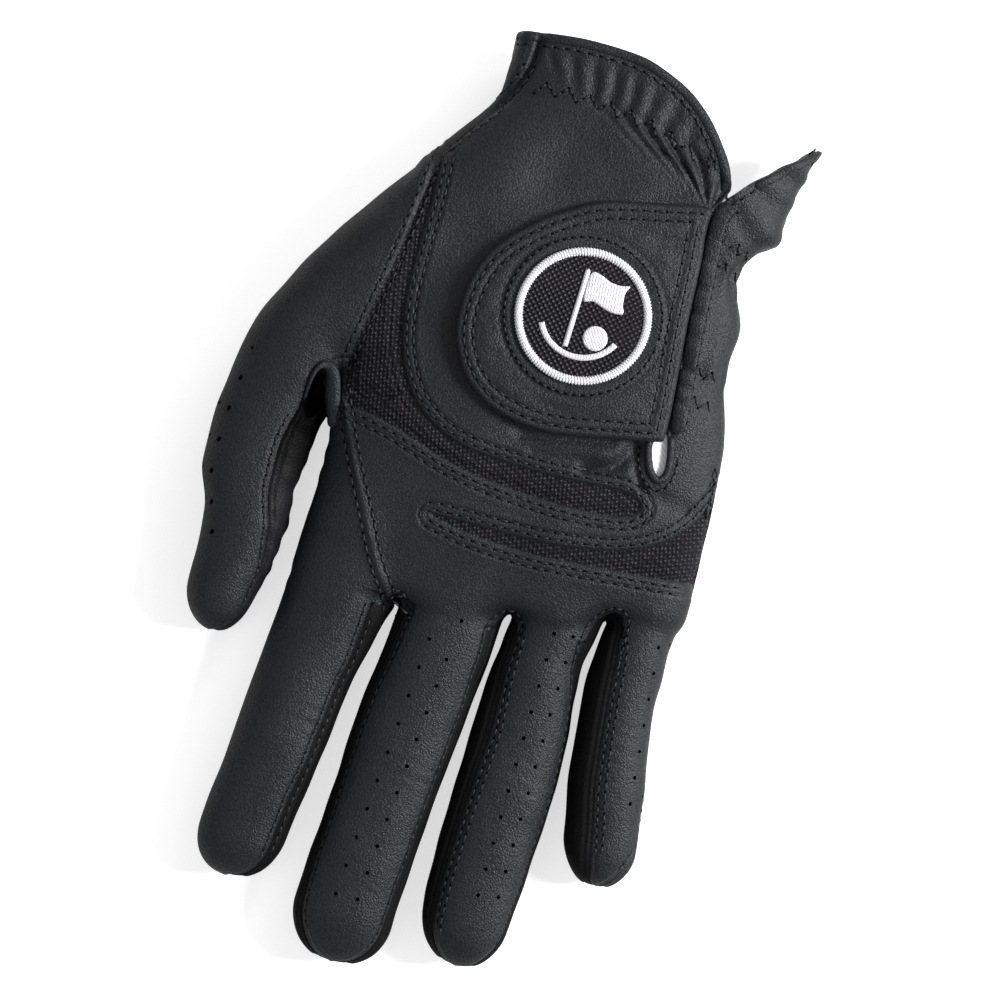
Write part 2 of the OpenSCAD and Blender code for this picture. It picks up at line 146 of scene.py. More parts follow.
# stations: (y, left x, right x, half height)
# tip, root: (y where the rounded end starts, its length)
LIMBS = {
    "index": dict(stations=[
        (-126, -49.2, -28.4, 7.4), (-112, -48.8, -27.5, 7.8), (-92, -47.3, -25.4, 8.4),
        (-72, -46.8, -23.5, 8.8), (-60, -46.0, -21.4, 9.0), (-50, -45.3, -19.9, 9.2),
        (-35, -44.4, -18.5, 9.3), (-15, -44, -17, 9.4)], tip=(-112.5, 12.4), root=(-28, 13)),
    "middle": dict(stations=[
        (-139, -20.6, 3.4, 7.6), (-122, -21.3, 3.3, 8.1), (-97, -20.6, 3.9, 8.6),
        (-72, -19.8, 5.9, 9.0), (-60, -18.3, 6.5, 9.2), (-49, -17.6, 6.7, 9.3),
        (-35, -18, 7, 9.4), (-15, -17, 7, 9.5)], tip=(-124.5, 12.9), root=(-28, 13)),
    "ring": dict(stations=[
        (-131, 10.6, 30.0, 7.4), (-117, 8.7, 30.5, 7.9), (-104, 7.9, 31, 8.2),
        (-85, 7.5, 31.6, 8.6), (-69, 7.3, 30.8, 8.9), (-58, 8.0, 29.2, 9.1),
        (-51, 8.8, 28.6, 9.2), (-44, 9.4, 29.8, 9.3), (-35, 9.6, 30.8, 9.3),
        (-15, 10, 31, 9.4)], tip=(-118, 11.8), root=(-26, 13)),
    "little": dict(stations=[
        (-103, 38.6, 55.2, 6.9), (-90, 36.0, 54.8, 7.3), (-78, 33.5, 52.7, 7.7),
        (-70, 32.4, 51.0, 8.0), (-59, 31.1, 49.2, 8.3), (-51, 30.7, 48.4, 8.5),
        (-43, 31.1, 48.0, 8.7), (-35, 31.8, 48, 8.8), (-15, 33, 47, 9)],
        tip=(-91, 10.6), root=(-22, 12)),
    "thumb": dict(stations=[
        (-72, -66.5, -53.5, 7.2), (-61, -68.2, -52.6, 7.8), (-50, -68.9, -50.4, 8.3),
        (-41, -70.2, -49.4, 8.8), (-30, -73.8, -50.2, 9.2), (-17, -74.2, -48.9, 9.6),
        (-8, -73.6, -47.4, 9.8), (-2, -72.9, -47.2, 10.2), (7, -71.2, -45, 10.8),
        (22, -64.5, -38, 11.2), (35, -57.2, -30, 11.2), (49, -48.4, -22, 10.8),
        (58, -41, -16, 10.4), (72, -33, -10, 9.6)], tip=(-59.0, 10.0), root=(56, 16)),
}
for limb in LIMBS.values():
    limb["table"] = section_table(limb["stations"])
HAND = section_table([
    (-60, -44.6, 48.4, 9.4), (-48, -44.8, 48.6, 9.5), (-30, -44.7, 49.2, 11.0),
    (-24, -45.2, 48.5, 11.4), (-12, -46.9, 48.1, 12.0), (-3, -48.2, 47.7, 12.3),
    (6, -48.2, 46.5, 12.5), (14, -47.4, 44.9, 12.6), (24, -46.0, 41.4, 12.6),
    (32, -43.5, 41.2, 12.5), (38, -42, 41.3, 12.3), (46.5, -40, 38.0, 12.0),
    (52, -39, 37.6, 11.7), (56, -38.2, 39.8, 11.5), (60, -36.6, 44.0, 11.3),
    (66, -34.2, 44.6, 11.2), (70, -32.4, 44.5, 11.1), (76, -30.2, 45.6, 10.9),
    (85, -30.6, 48.0, 10.6), (92, -31.4, 49.4, 10.5), (100, -32, 51, 10.4)])
# where the front edge of the hand body ends: x, then y
HAND_FRONT = ([-45, -20, -8, 8.5, 20, 30, 36, 48], [-47, -47.5, -47.5, -43, -43, -37, -36, -36])
# y from which each finger melts into the hand
MELT_Y = {"index": -54, "middle": -53, "ring": -46.5, "little": -40}
# pocket sunk between thumb and hand
POCKET = np.array([-51.8, -6.8, 20.5])
POCKET_RADII = np.array([2.0, 6.4, 8.5])


def section_at(table, y):
    """Centre x, half width and half height at y; the half height is also the centre's z."""
    return [np.interp(y, table[0], values) for values in table[1:]]


def hand_height(y):
    return np.interp(y, HAND[0], HAND[3])


def section_sdf(points, table, power, tip=None, root=None):
    """Superelliptic bar along y, with rounded ends if tip and root are given."""
    x, y, z = np.moveaxis(points, -1, 0)
    centre, half_width, half_height = section_at(table, y)
    across = np.abs(x - centre) / half_width
    upward = np.abs(z - half_height) / half_height
    radius = np.maximum((across ** power + upward ** power) ** (1 / power), 1e-4)
    slope2 = (((across / radius) ** (power - 1) / half_width) ** 2
              + ((upward / radius) ** (power - 1) / half_height) ** 2)
    if tip is None:
        return np.clip((radius - 1) / np.sqrt(slope2), -14, 30)
    past = np.maximum(0, (tip[0] - y) / tip[1])
    past = past + np.maximum(0, (y - root[0]) / root[1])
    length = np.where(y < tip[0], tip[1], root[1])
    end_power = 2.15
    total = (radius ** end_power + past ** end_power) ** (1 / end_power)
    slope2 = (slope2 * (radius / total) ** (2 * end_power - 2)
              + ((past / total) ** (end_power - 1) / length) ** 2)
    return np.clip((total - 1) / np.sqrt(slope2), -14, 30)


def limb_sdf(points, name, power=2.25):
    limb = LIMBS[name]
    return section_sdf(points, limb["table"], power, limb["tip"], limb["root"])


def parts_sdf(points):
    parts = {name: limb_sdf(points, name, 2.3 if name == "thumb" else 2.25) for name in LIMBS}
    front = np.interp(points[..., 0], *HAND_FRONT) - points[..., 1]
    parts["hand"] = -smooth_min(-section_sdf(points, HAND, 2.75), -front, 5.0)
    return parts


def stuffed_sdf(points):
    """Hand, fingers and thumb joined; the blends widen towards the palm."""
    parts = parts_sdf(points)
    y = points[..., 1]
    out = parts["hand"]
    for name, melt in MELT_Y.items():
        out = smooth_min(out, parts[name], 0.05 + 3.5 * rise(y, melt - 2, melt + 6))
    return smooth_min(out, parts["thumb"], 0.05 + 9.0 * rise(y, -3, 11))


def sdf(points):
    """The stuffed shape with the pocket taken out."""
    offset = (points - POCKET) / POCKET_RADII
    pocket = 2.2 * (1 - np.sqrt((offset * offset).sum(-1)))
    return -smooth_min(-stuffed_sdf(points), -pocket, 1.0)


def gradient(points, field=sdf, step=0.05):
    out = np.empty_like(points)
    for i in range(3):
        shift = np.zeros(3)
        shift[i] = step
        out[:, i] = (field(points + shift) - field(points - shift)) / (2 * step)
    return out


def project(points, steps=2):
    """Move points onto the surface."""
    for _ in range(steps):
        slope = gradient(points)
        size = np.maximum((slope * slope).sum(1), 0.2)
        points = points - (sdf(points) / size)[:, None] * slope
    return points


# ---------------------------------------------------------------------------
# 3. Triangle mesh tools
# ---------------------------------------------------------------------------
GRID_LOW, GRID_HIGH = np.array([-79, -142, -4.0]), np.array([60, 101, 30.0])


def face_cross(verts, faces):
    corner = verts[faces[:, 0]]
    return np.cross(verts[faces[:, 1]] - corner, verts[faces[:, 2]] - corner)


def base_mesh(step):
    count = np.ceil((GRID_HIGH - GRID_LOW) / step).astype(int) + 1
    axes = [GRID_LOW[i] + step * np.arange(count[i]) for i in range(3)]
    values = np.empty(count, np.float32)
    for i in range(0, count[0], 24):
        cells = np.meshgrid(axes[0][i:i + 24], axes[1], axes[2], indexing="ij")
        values[i:i + 24] = sdf(np.stack(cells, -1))
    grid = openvdb.FloatGrid(background=30.0)
    grid.copyFromArray(values)
    verts, quads = grid.convertToQuads()
    verts = verts.astype(float) * step + GRID_LOW
    quads = quads.astype(np.int64)
    tris = np.concatenate([quads[:, [0, 1, 2]], quads[:, [0, 2, 3]]])
    if (face_cross(verts, tris) * gradient(verts[tris].mean(1))).sum(1).mean() < 0:
        tris = tris[:, ::-1]
    return verts, tris


def refine(verts, tris, chosen):
    """Split the chosen triangles in four, and their neighbours so that no vertex hangs."""
    count = len(verts)
    ends = np.sort(tris[:, [0, 1, 1, 2, 2, 0]].reshape(-1, 2), 1)
    keys, edges = np.unique(ends[:, 0] * count + ends[:, 1], return_inverse=True)
    edges = edges.reshape(-1, 3)
    split = np.zeros(len(keys), bool)
    split[edges[chosen].ravel()] = True
    middle = np.full(len(keys), -1)
    middle[split] = count + np.arange(split.sum())
    verts = np.concatenate([verts, (verts[keys[split] // count] + verts[keys[split] % count]) / 2])
    mids = middle[edges]
    splits = (mids >= 0).sum(1)
    tri, mid = tris[splits == 3], mids[splits == 3]
    out = [tris[splits == 0], np.c_[tri[:, 0], mid[:, 0], mid[:, 2]],
           np.c_[mid[:, 0], tri[:, 1], mid[:, 1]], np.c_[mid[:, 2], mid[:, 1], tri[:, 2]], mid]
    for k in range(3):
        second, third = (k + 1) % 3, (k + 2) % 3
        # one split edge, k, which joins corners k and k + 1
        tri = tris[(splits == 1) & (mids[:, k] >= 0)]
        mid = mids[(splits == 1) & (mids[:, k] >= 0), k]
        out += [np.c_[tri[:, k], mid, tri[:, third]], np.c_[mid, tri[:, second], tri[:, third]]]
        # two split edges, edge k whole
        whole = (splits == 2) & (mids[:, k] < 0)
        tri, mid_a, mid_b = tris[whole], mids[whole, second], mids[whole, third]
        out += [np.c_[mid_a, tri[:, third], mid_b], np.c_[tri[:, k], tri[:, second], mid_a],
                np.c_[tri[:, k], mid_a, mid_b]]
    return verts, np.concatenate(out)


def vertex_normals(verts, tris):
    cross = face_cross(verts, tris)
    out = np.zeros_like(verts)
    for corner in range(3):
        for axis in range(3):
            out[:, axis] += np.bincount(tris[:, corner], cross[:, axis], len(verts))
    return unit(out, 1e-12)


def turned(tris, first):
    """The corners of each triangle, starting from the given one."""
    i = np.arange(len(tris))
    return [tris[i, (first + k) % 3] for k in range(3)]


def compact(attrs, tris):
    used, tris_new = np.unique(tris, return_inverse=True)
    return {key: values[used] for key, values in attrs.items()}, tris_new.reshape(-1, 3)


def clip(attrs, tris, field):
    """Keep the side where field < 0. attrs is a dict of per-vertex arrays."""
    total = len(field)
    kept = field < 0
    inside_count = kept[tris].sum(1)
    one, two = tris[inside_count == 1], tris[inside_count == 2]
    lone, out_a, out_b = turned(one, np.argmax(kept[one], 1))
    outer, in_a, in_b = turned(two, np.argmin(kept[two], 1))
    edges = np.concatenate([np.c_[lone, out_a], np.c_[lone, out_b],
                            np.c_[in_a, outer], np.c_[in_b, outer]])  # inside, outside
    _, first, inverse = np.unique(edges.min(1) * total + edges.max(1),
                                  return_index=True, return_inverse=True)
    start, end = edges[first].T
    share = np.clip(field[start] / (field[start] - field[end] + 1e-12), 0.06, 0.94)
    cut_a, cut_b, cut_c, cut_d = np.split(
        total + inverse, [len(one), 2 * len(one), 2 * len(one) + len(two)])
    tris = np.concatenate([tris[inside_count == 3], np.c_[lone, cut_a, cut_b],
                           np.c_[in_a, in_b, cut_d], np.c_[in_a, cut_d, cut_c]])
    grown = {}
    for key, values in attrs.items():
        mix = share if values.ndim == 1 else share[:, None]
        grown[key] = np.concatenate([values, values[start] * (1 - mix) + values[end] * mix])
    return compact(grown, tris)


def drop_islands(attrs, tris, share):
    """Drop connected parts that hold no more than a share of the triangles."""
    label = np.arange(len(next(iter(attrs.values()))))
    edges = np.concatenate([tris[:, [0, 1]], tris[:, [1, 2]]])
    while True:
        lowest = np.minimum(label[edges[:, 0]], label[edges[:, 1]])
        merged = label.copy()
        np.minimum.at(merged, edges[:, 0], lowest)
        np.minimum.at(merged, edges[:, 1], lowest)
        merged = merged[merged]
        if (merged == label).all():
            break
        label = merged
    tri_label = label[tris[:, 0]]
    ids, count = np.unique(tri_label, return_counts=True)
    return compact(attrs, tris[np.isin(tri_label, ids[count > share * len(tris)])])


def rim_edges(tris):
    edges = tris[:, [0, 1, 1, 2, 2, 0]].reshape(-1, 2)
    keys = edges.min(1).astype(np.int64) * (tris.max() + 1) + edges.max(1)
    _, inverse, count = np.unique(keys, return_inverse=True, return_counts=True)
    return edges[count[inverse.ravel()] == 1]


def points_in(verts, face, centre):
    """True if the face looks towards the centre."""
    corners = verts[face]
    cross = np.cross(corners[1] - corners[0], corners[2] - corners[0])
    return cross @ (corners.mean(0) - centre) < 0


def ring_quads(rings, sides, closed_loop=False):
    i, k = np.meshgrid(np.arange(rings if closed_loop else rings - 1), np.arange(sides),
                       indexing="ij")
    after, beside = (i + 1) % rings, (k + 1) % sides
    return np.stack([i * sides + k, after * sides + k, after * sides + beside,
                     i * sides + beside], -1).reshape(-1, 4)


def cap_tris(rings, sides):
    last = (rings - 1) * sides
    return np.array([tri for k in range(1, sides - 1)
                     for tri in ((0, k, k + 1), (last, last + k + 1, last + k))])


MATERIALS = {}


def mesh_object(name, verts, faces, material, normals=None, rest=None):
    """A smooth object. faces is a list of index arrays; rest is the position the textures use."""
    mesh = bpy.data.meshes.new(name)
    loops = np.concatenate([block.ravel() for block in faces])
    starts, total = [], 0
    for block in faces:
        starts.append(total + np.arange(len(block)) * block.shape[1])
        total += block.size
    starts = np.concatenate(starts).astype(np.int32)
    mesh.vertices.add(len(verts))
    mesh.vertices.foreach_set("co", (verts * MM).astype(np.float32).ravel())
    mesh.loops.add(len(loops))
    mesh.loops.foreach_set("vertex_index", loops.astype(np.int32))
    mesh.polygons.add(len(starts))
    mesh.polygons.foreach_set("loop_start", starts)
    mesh.update(calc_edges=True)
    mesh.validate()
    mesh.polygons.foreach_set("use_smooth", np.ones(len(mesh.polygons), bool))
    attribute = mesh.attributes.new("rest", "FLOAT_VECTOR", "POINT")
    rest = verts if rest is None else rest
    attribute.data.foreach_set("vector", (rest * MM).astype(np.float32).ravel())
    # validate() may have dropped faces; the normals would then no longer match the corners
    if normals is not None and len(mesh.loops) == len(loops):
        mesh.normals_split_custom_set(normals.tolist())
    mesh.materials.append(MATERIALS[material])
    ob = bpy.data.objects.new(name, mesh)
    bpy.context.scene.collection.objects.link(ob)
    return ob


def closed_sheet(name, outer, inner, tris, outer_normals, inner_normals, material, rest=None):
    """Two skins with the same triangles, joined by a wall round the rim."""
    count = len(outer)
    rim = rim_edges(tris)
    walls = np.c_[rim[:, 1], rim[:, 0], rim[:, 0] + count, rim[:, 1] + count]
    verts = np.concatenate([outer, inner])
    back = tris[:, ::-1]
    normals = np.concatenate([outer_normals[tris].reshape(-1, 3),
                              inner_normals[back].reshape(-1, 3),
                              np.repeat(unit(face_cross(verts, walls), 1e-9), 4, 0)])
    faces = [np.concatenate([tris, back + count]), walls]
    return mesh_object(name, verts, faces, material, normals, rest)


def shell(name, attrs, tris, thick, material):
    """A panel of the glove skin, thick millimetres deep."""
    skin, normal, plain = attrs["skin"], attrs["normal"], attrs["plain"]
    return closed_sheet(name, skin, skin - normal * thick, tris, normal, -normal, material,
                        np.concatenate([plain, plain]))


# ---------------------------------------------------------------------------
# 4. Lines in plan (x, y)
# ---------------------------------------------------------------------------


def spline(points, count=8, closed_loop=False):
    """Catmull-Rom curve, count samples per span."""
    points = np.array(points, float)
    if closed_loop:
        points = np.concatenate([points[-1:], points, points[:2]])
    else:
        points = np.concatenate([2 * points[:1] - points[1:2], points,
                                 2 * points[-1:] - points[-2:-1]])
    t = np.linspace(0, 1, count, endpoint=False)[:, None]
    out = []
    for i in range(1, len(points) - 2):
        before, start, end, after = points[i - 1:i + 3]
        out.append(0.5 * (2 * start + (end - before) * t
                          + (2 * before - 5 * start + 4 * end - after) * t ** 2
                          + (3 * start - 3 * end + after - before) * t ** 3))
    if not closed_loop:
        out.append(points[-2:-1])
    return np.concatenate(out)


def arc_length(path):
    return np.r_[0, np.cumsum(np.linalg.norm(np.diff(path, axis=0), axis=1))]


def along_path(path, lengths, where):
    """Columns of path interpolated at the given arc lengths."""
    return np.stack([np.interp(where, lengths, column) for column in path.T], -1)


def resample(line, step):
    line = np.asarray(line, float)
    lengths = arc_length(line)
    count = max(2, int(round(lengths[-1] / step)) + 1)
    return along_path(line, lengths, np.linspace(0, lengths[-1], count))


def closed(outline, step=1.0):
    return resample(np.concatenate([outline, outline[:1]]), step)[:-1]


def segment_distance(plan, starts, ends):
    best = np.full(len(plan), 1e9)
    for start, end in zip(starts, ends):
        span = end - start
        t = np.clip(((plan - start) @ span) / max(span @ span, 1e-12), 0, 1)
        offset = plan - start - t[:, None] * span
        best = np.minimum(best, (offset * offset).sum(1))
    return np.sqrt(best)


def line_distance(plan, line, step):
    """Distance to an open line, resampled at step first."""
    line = resample(line, step)
    return segment_distance(plan, line[:-1], line[1:])


def inside(plan, outline):
    x, y = plan.T
    out = np.zeros(len(plan), bool)
    for (x0, y0), (x1, y1) in zip(outline, np.roll(outline, -1, 0)):
        if y0 == y1:
            continue
        crosses = (y0 > y) != (y1 > y)
        out ^= crosses & (x < (x1 - x0) * (y - y0) / (y1 - y0) + x0)
    return out


def polygon_sdf(plan, outline):
    distance = segment_distance(plan, outline, np.roll(outline, -1, 0))
    return np.where(inside(plan, outline), -distance, distance)


def sideways(line, step):
    """The line resampled at step, and the unit direction to the left of travel."""
    line = resample(line, step)
    heading = unit(np.gradient(line, axis=0))
    return line, np.c_[-heading[:, 1], heading[:, 0]]


def offset_line(line, distance):
    """The line moved sideways: positive is to the left of travel."""
    line, left = sideways(line, 0.8)
    return line + distance * left


def offset_outline(outline, distance, step):
    """A closed outline, anticlockwise, and its raw offset (positive is outwards)."""
    line = closed(outline, step)
    after = np.roll(line, -1, 0)
    if (line[:, 0] * after[:, 1] - after[:, 0] * line[:, 1]).sum() < 0:
        line = line[::-1]
    heading = unit(np.roll(line, -1, 0) - np.roll(line, 1, 0))
    return line, line + distance * np.c_[heading[:, 1], -heading[:, 0]]


def grown(outline, distance):
    """The outline grown by a distance, folded corners left out."""
    line, moved = offset_outline(outline, distance, 0.8)
    error = np.abs(polygon_sdf(moved, line) - distance)
    return moved[error < 0.15 + 0.05 * abs(distance)]


def outline_rows(outline, distance, step=0.5):
    """Open pieces of the offset outline, joined by arcs round its corners."""
    line, moved = offset_outline(outline, distance, step)
    out = []
    for i in range(len(line)):
        out.append(moved[i])
        j = (i + 1) % len(line)
        if np.linalg.norm(moved[j] - moved[i]) > 2.2 * step and distance > 0:
            corner = (line[i] + line[j]) / 2
            start = math.atan2(*(moved[i] - corner)[::-1])
            turn = (math.atan2(*(moved[j] - corner)[::-1]) - start) % (2 * math.pi)
            if turn < math.pi * 1.2:
                for k in range(1, 7):
                    angle = start + turn * k / 7
                    out.append(corner + distance * np.array([math.cos(angle), math.sin(angle)]))
    out = np.array(out)
    error = np.abs(polygon_sdf(out, line) - distance)
    out = out[error < 0.12 + 0.05 * abs(distance)]
    breaks = np.where(np.linalg.norm(np.diff(out, axis=0), axis=1) > 1.6)[0] + 1
    return [piece for piece in np.split(out, breaks) if len(piece) > 4]


THUMB_SEAM = spline([
    (-25.7, 95), (-25.5, 87), (-26.5, 81), (-29.2, 75), (-33.6, 69.0), (-38.2, 62), (-40.4, 56),
    (-41.2, 46), (-42.2, 35), (-43.4, 25), (-45.2, 14), (-47.2, 0.5)])
# rear and front edges of the two knit mesh inserts
SIDE_REAR = spline([
    (-39.6, 57), (-38.8, 45), (-38.6, 34), (-37.9, 21), (-35.2, 9.6), (-28.8, -1.0),
    (-17.9, -7.6), (-4.8, -9.3), (10.3, -9.0), (24.0, -7.8), (29.2, -8.6), (30.9, -10.2)])
SIDE_FRONT = spline([
    (-47.2, 0.5), (-44.6, -6.2), (-37, -7.8), (-29.8, -9.3), (-16.1, -13.2), (-3, -14.8),
    (12.1, -15.2), (24.3, -14.2), (29.2, -12.6), (30.9, -10.4)])
KNUCKLE_REAR = spline([
    (-16.6, -26.4), (-8, -25.9), (0.5, -25.7), (15.2, -24.6), (29.2, -21.6), (37.9, -17.2),
    (43.5, -11.5), (47.2, -5), (50.5, 2)])
KNUCKLE_FRONT = spline([
    (-16.6, -26.6), (-11, -27.6), (-6.4, -28.2), (6.3, -28.6), (20.9, -27.4), (35.6, -25.8),
    (43.5, -24.8), (52.0, -23.6)])
# from the thumb root along the left edge to the index finger
WEB = spline([(-46.0, -3.0), (-44.4, -7), (-39.4, -17.1), (-32.3, -29.9), (-26.4, -40.6),
              (-20.6, -48.6), (-19.3, -54)])
# rear edge of the back: left of the slit, then right of it
CUFF = spline([
    (-33.0, 90.4), (-30.8, 91.2), (-25.6, 92.2), (-13.6, 93.7), (-1.1, 93.6), (6, 91.9),
    (12.9, 89.0), (18.4, 85), (22.5, 80.8), (26.6, 75.4), (28.6, 71), (29.0, 66.6)])
WING = spline([(29.0, 66.6), (33.0, 71.4), (38.1, 76.6), (43.3, 81.4), (48.2, 85.2), (53, 88)])
SLIT = spline([(29.0, 66.6), (27.0, 63.0), (26.7, 58), (27.4, 51.2), (28.2, 42), (28.9, 33.6),
               (30.2, 22.3), (31.2, 13.5), (31.5, 8.2)], 6)
# drop-shaped opening at the front end of the slit
DROP = spline([(30.9, 8.9), (29.6, 7.6), (28.9, 5.4), (29.5, 2.5), (31.0, -0.6), (32.7, -2.0),
               (33.6, -0.6), (33.5, 2.2), (32.8, 5.4), (31.9, 8.2)], 8, True)
TAB_FREE_EDGE = spline([
    (25.6, 63.4), (22.0, 62.9), (16.3, 61.4), (8.5, 59.4), (0.3, 56.9), (-7.0, 52.6),
    (-14.5, 46.5), (-20.6, 39.6), (-23.9, 31.4), (-24.6, 23.0), (-23.3, 15.4), (-18.8, 8.0),
    (-12.4, 3.2), (-5.0, 0.9), (3.5, 0.5), (12.4, 2.0), (19.0, 3.5), (25.0, 4.9), (31.0, 6.4)])
TAB = np.concatenate([
    TAB_FREE_EDGE, SLIT[(SLIT[:, 1] > 8.6) & (SLIT[:, 1] < 62.6)][::-1] + [-0.5, 0]])
BADGE = np.array([4.15, 29.5])
ELASTIC = spline([(-24.8, 78.8), (-16.8, 79.7), (-6.7, 79.5), (3.6, 78.4), (13.1, 76.1),
                  (22.1, 73.0), (27.5, 69.5)])

# closed outlines that cut the hand
SIDE_MESH = closed(np.concatenate(
    [SIDE_REAR, SIDE_FRONT[::-1], THUMB_SEAM[THUMB_SEAM[:, 1] < 57][::-1]]))
KNUCKLE_MESH = closed(np.concatenate([KNUCKLE_REAR, KNUCKLE_FRONT[::-1]]))
DROP_OUTLINE = closed(DROP, 0.4)
SLIT_STRIP = np.concatenate([SLIT, offset_line(SLIT, -0.35)[::-1]])
RIGHT_OF_THUMB = closed(np.concatenate([
    [(-25.6, 120)], THUMB_SEAM, WEB, [(-19.3, -160), (90, -160), (90, 120)]]), 1.5)
THUMB_UNDER = np.concatenate([
    spline([(-47.5, -2.5), (-41, 6), (-33, 20), (-26, 38), (-22.5, 56), (-21.5, 75), (-21, 100)]),
    [(-95, 110), (-95, -2.2)]])
FAR_FRONT = [(80, 104), (80, -160), (-95, -160), (-95, 80)]
BACK_EXTENT = np.concatenate([CUFF, WING[1:], FAR_FRONT])
PALM_EXTENT = np.concatenate([
    spline([(-34, 91), (-28, 89.4), (-12, 84), (4, 75), (16, 67.5), (27, 64.2), (35, 70.0),
            (44, 80.0), (54, 88.5)]), FAR_FRONT])
# strips between the fingers: index-middle, middle-ring, ring-little
FORKS = [
    np.array([(-27, -62), (-24.4, -54.5), (-22.3, -50.4), (-20.8, -48.2), (-19.2, -47.2),
              (-17.6, -48.0), (-16.4, -51.5), (-16.3, -62)]),
    np.array([(4.6, -62), (4.6, -50), (5.8, -46.0), (8.3, -43.9), (10.6, -45.0), (11.2, -48.5),
              (11.4, -62)]),
    np.array([(27.4, -62), (27.5, -44), (29.2, -38.8), (32.2, -36.0), (34.6, -36.6),
              (35.6, -40), (36.2, -62)]),
]

# ---------------------------------------------------------------------------
# 5. Seams round the fingers, joints and perforations
# ---------------------------------------------------------------------------
# (y, angle): 0 is the right side, 90 the back, 180 the left side, -90 the palm
SEAMS = {
    "index": dict(right=[(-126, 40), (-103, 44), (-85, 41), (-67, 38), (-53, 49), (-45, 54)],
                  left=[(-126, 205), (-45, 205)]),
    "middle": dict(right=[(-139, 36), (-120, 30), (-97, 26), (-70, 27), (-49, 36)],
                   left=[(-139, 140), (-120, 148), (-97, 151), (-70, 150), (-49, 142)]),
    "ring": dict(right=[(-131, 28), (-117, 20), (-85, 14), (-60, 16), (-46, 40)],
                 left=[(-131, 140), (-117, 137), (-93, 133), (-70, 128), (-48, 140)]),
    "little": dict(right=[(-103, 52), (-95, 34), (-86, 10), (-70, -20), (-40, -30)],
                   left=[(-103, 102), (-78, 110), (-60, 110), (-49, 113), (-38, 128)]),
    "thumb": dict(right=[(-72, 20), (-53, 30), (-45, 46), (-37, 58), (-20, 66), (-8, 60),
                         (0, 20), (20, 0), (60, 0)],
                  left=[(-72, 250), (60, 250)]),
}
BASE_Y = {"index": -51.0, "middle": -51.0, "ring": -48.0, "little": -41.5, "thumb": -2.0}
# where the base panels meet the tip panels
SPLIT_Y = {"index": -69.0, "middle": -72.0, "ring": -67.5, "little": -55.5, "thumb": -14.5}
# the base joint bends over this length from BASE_Y; the tip joint from y to y
TIP_BEND = {"index": (-74, -90), "middle": (-79.5, -95), "ring": (-75, -90),
            "little": (-60, -73.5), "thumb": (-17, -31)}
# rows of perforations on the fingers: first, last, count
HOLE_ROWS = [
    ((-8.5, -55.1), (-12.1, -120.4), 10), ((-3.1, -58.6), (-6.7, -120.2), 10),
    ((-2.4, -48.7), (-2.4, -48.7), 1), ((19.8, -45.1), (20.8, -110.8), 11),
    ((24.4, -44.5), (25.6, -109.9), 11), ((44.9, -41.0), (49.4, -79.1), 7),
    ((47.4, -39.7), (51.9, -76.7), 7),
]
THUMB_HOLES = [(-69.7, -0.6), (-70.3, -8.3), (-71.0, -16.1), (-71.1, -23.9), (-70.6, -31.7),
               (-68.6, -39.0), (-66.2, -45.8)]
THUMB_SIDE_HOLES = [(160, -23.5), (161, -31.2), (160, -38.7), (159, -15.5)]  # angle, y
HOLES = np.array([
    (start[0] + (end[0] - start[0]) * (i / max(1, count - 1)),
     start[1] + (end[1] - start[1]) * (i / max(1, count - 1)))
    for start, end, count in HOLE_ROWS for i in range(count)] + THUMB_HOLES)
HOLE_RADIUS = 0.5


def seam_angle(name, seam, y):
    """Angle of a seam at each y; a number is a seam that runs straight."""
    if isinstance(seam, str):
        stations = np.array(sorted(SEAMS[name][seam]))
        return np.interp(y, stations[:, 0], stations[:, 1])
    return np.full(len(y), float(seam))


def tip_taper(name, y):
    tip_y, length = LIMBS[name]["tip"]
    return np.clip(1 - ((tip_y - y) / length).clip(0, 1) ** 2, 0.05, 1) ** 0.5


def around(points, name, degrees):
    """Millimetres round the limb from an angle, positive anticlockwise."""
    x, y, z = points.T
    centre, half_width, half_height = section_at(LIMBS[name]["table"], y)
    angle = np.degrees(np.arctan2((z - half_height) / half_height, (x - centre) / half_width))
    turn = (angle - degrees + 180) % 360 - 180
    radius = (half_width + half_height) / 2
    return turn * math.pi / 180 * radius * tip_taper(name, y)


def seam_distance(points):
    y = points[:, 1]
    out = np.full(len(points), 1e9)
    back = (points[:, 2] > hand_height(y) - 1) & (y > -60)
    lines = (THUMB_SEAM, SIDE_REAR, SIDE_FRONT, KNUCKLE_REAR, KNUCKLE_FRONT, SLIT)
    out[back] = np.min([line_distance(points[back][:, :2], line, 1.2) for line in lines], 0)
    nearest = np.argmin(np.stack([limb_sdf(points, name) for name in LIMBS]), 0)
    for i, name in enumerate(LIMBS):
        thumb = name == "thumb"
        own = (nearest == i) & (y < (0 if thumb else BASE_Y[name] + 3))
        for seam in ("right", "left") if thumb else ("right", "left", -30, 210):
            distance = np.abs(around(points[own], name, seam_angle(name, seam, y[own])))
            out[own] = np.minimum(out[own], distance)
    return out


# ---------------------------------------------------------------------------
# 6. The skin with all its relief
# ---------------------------------------------------------------------------


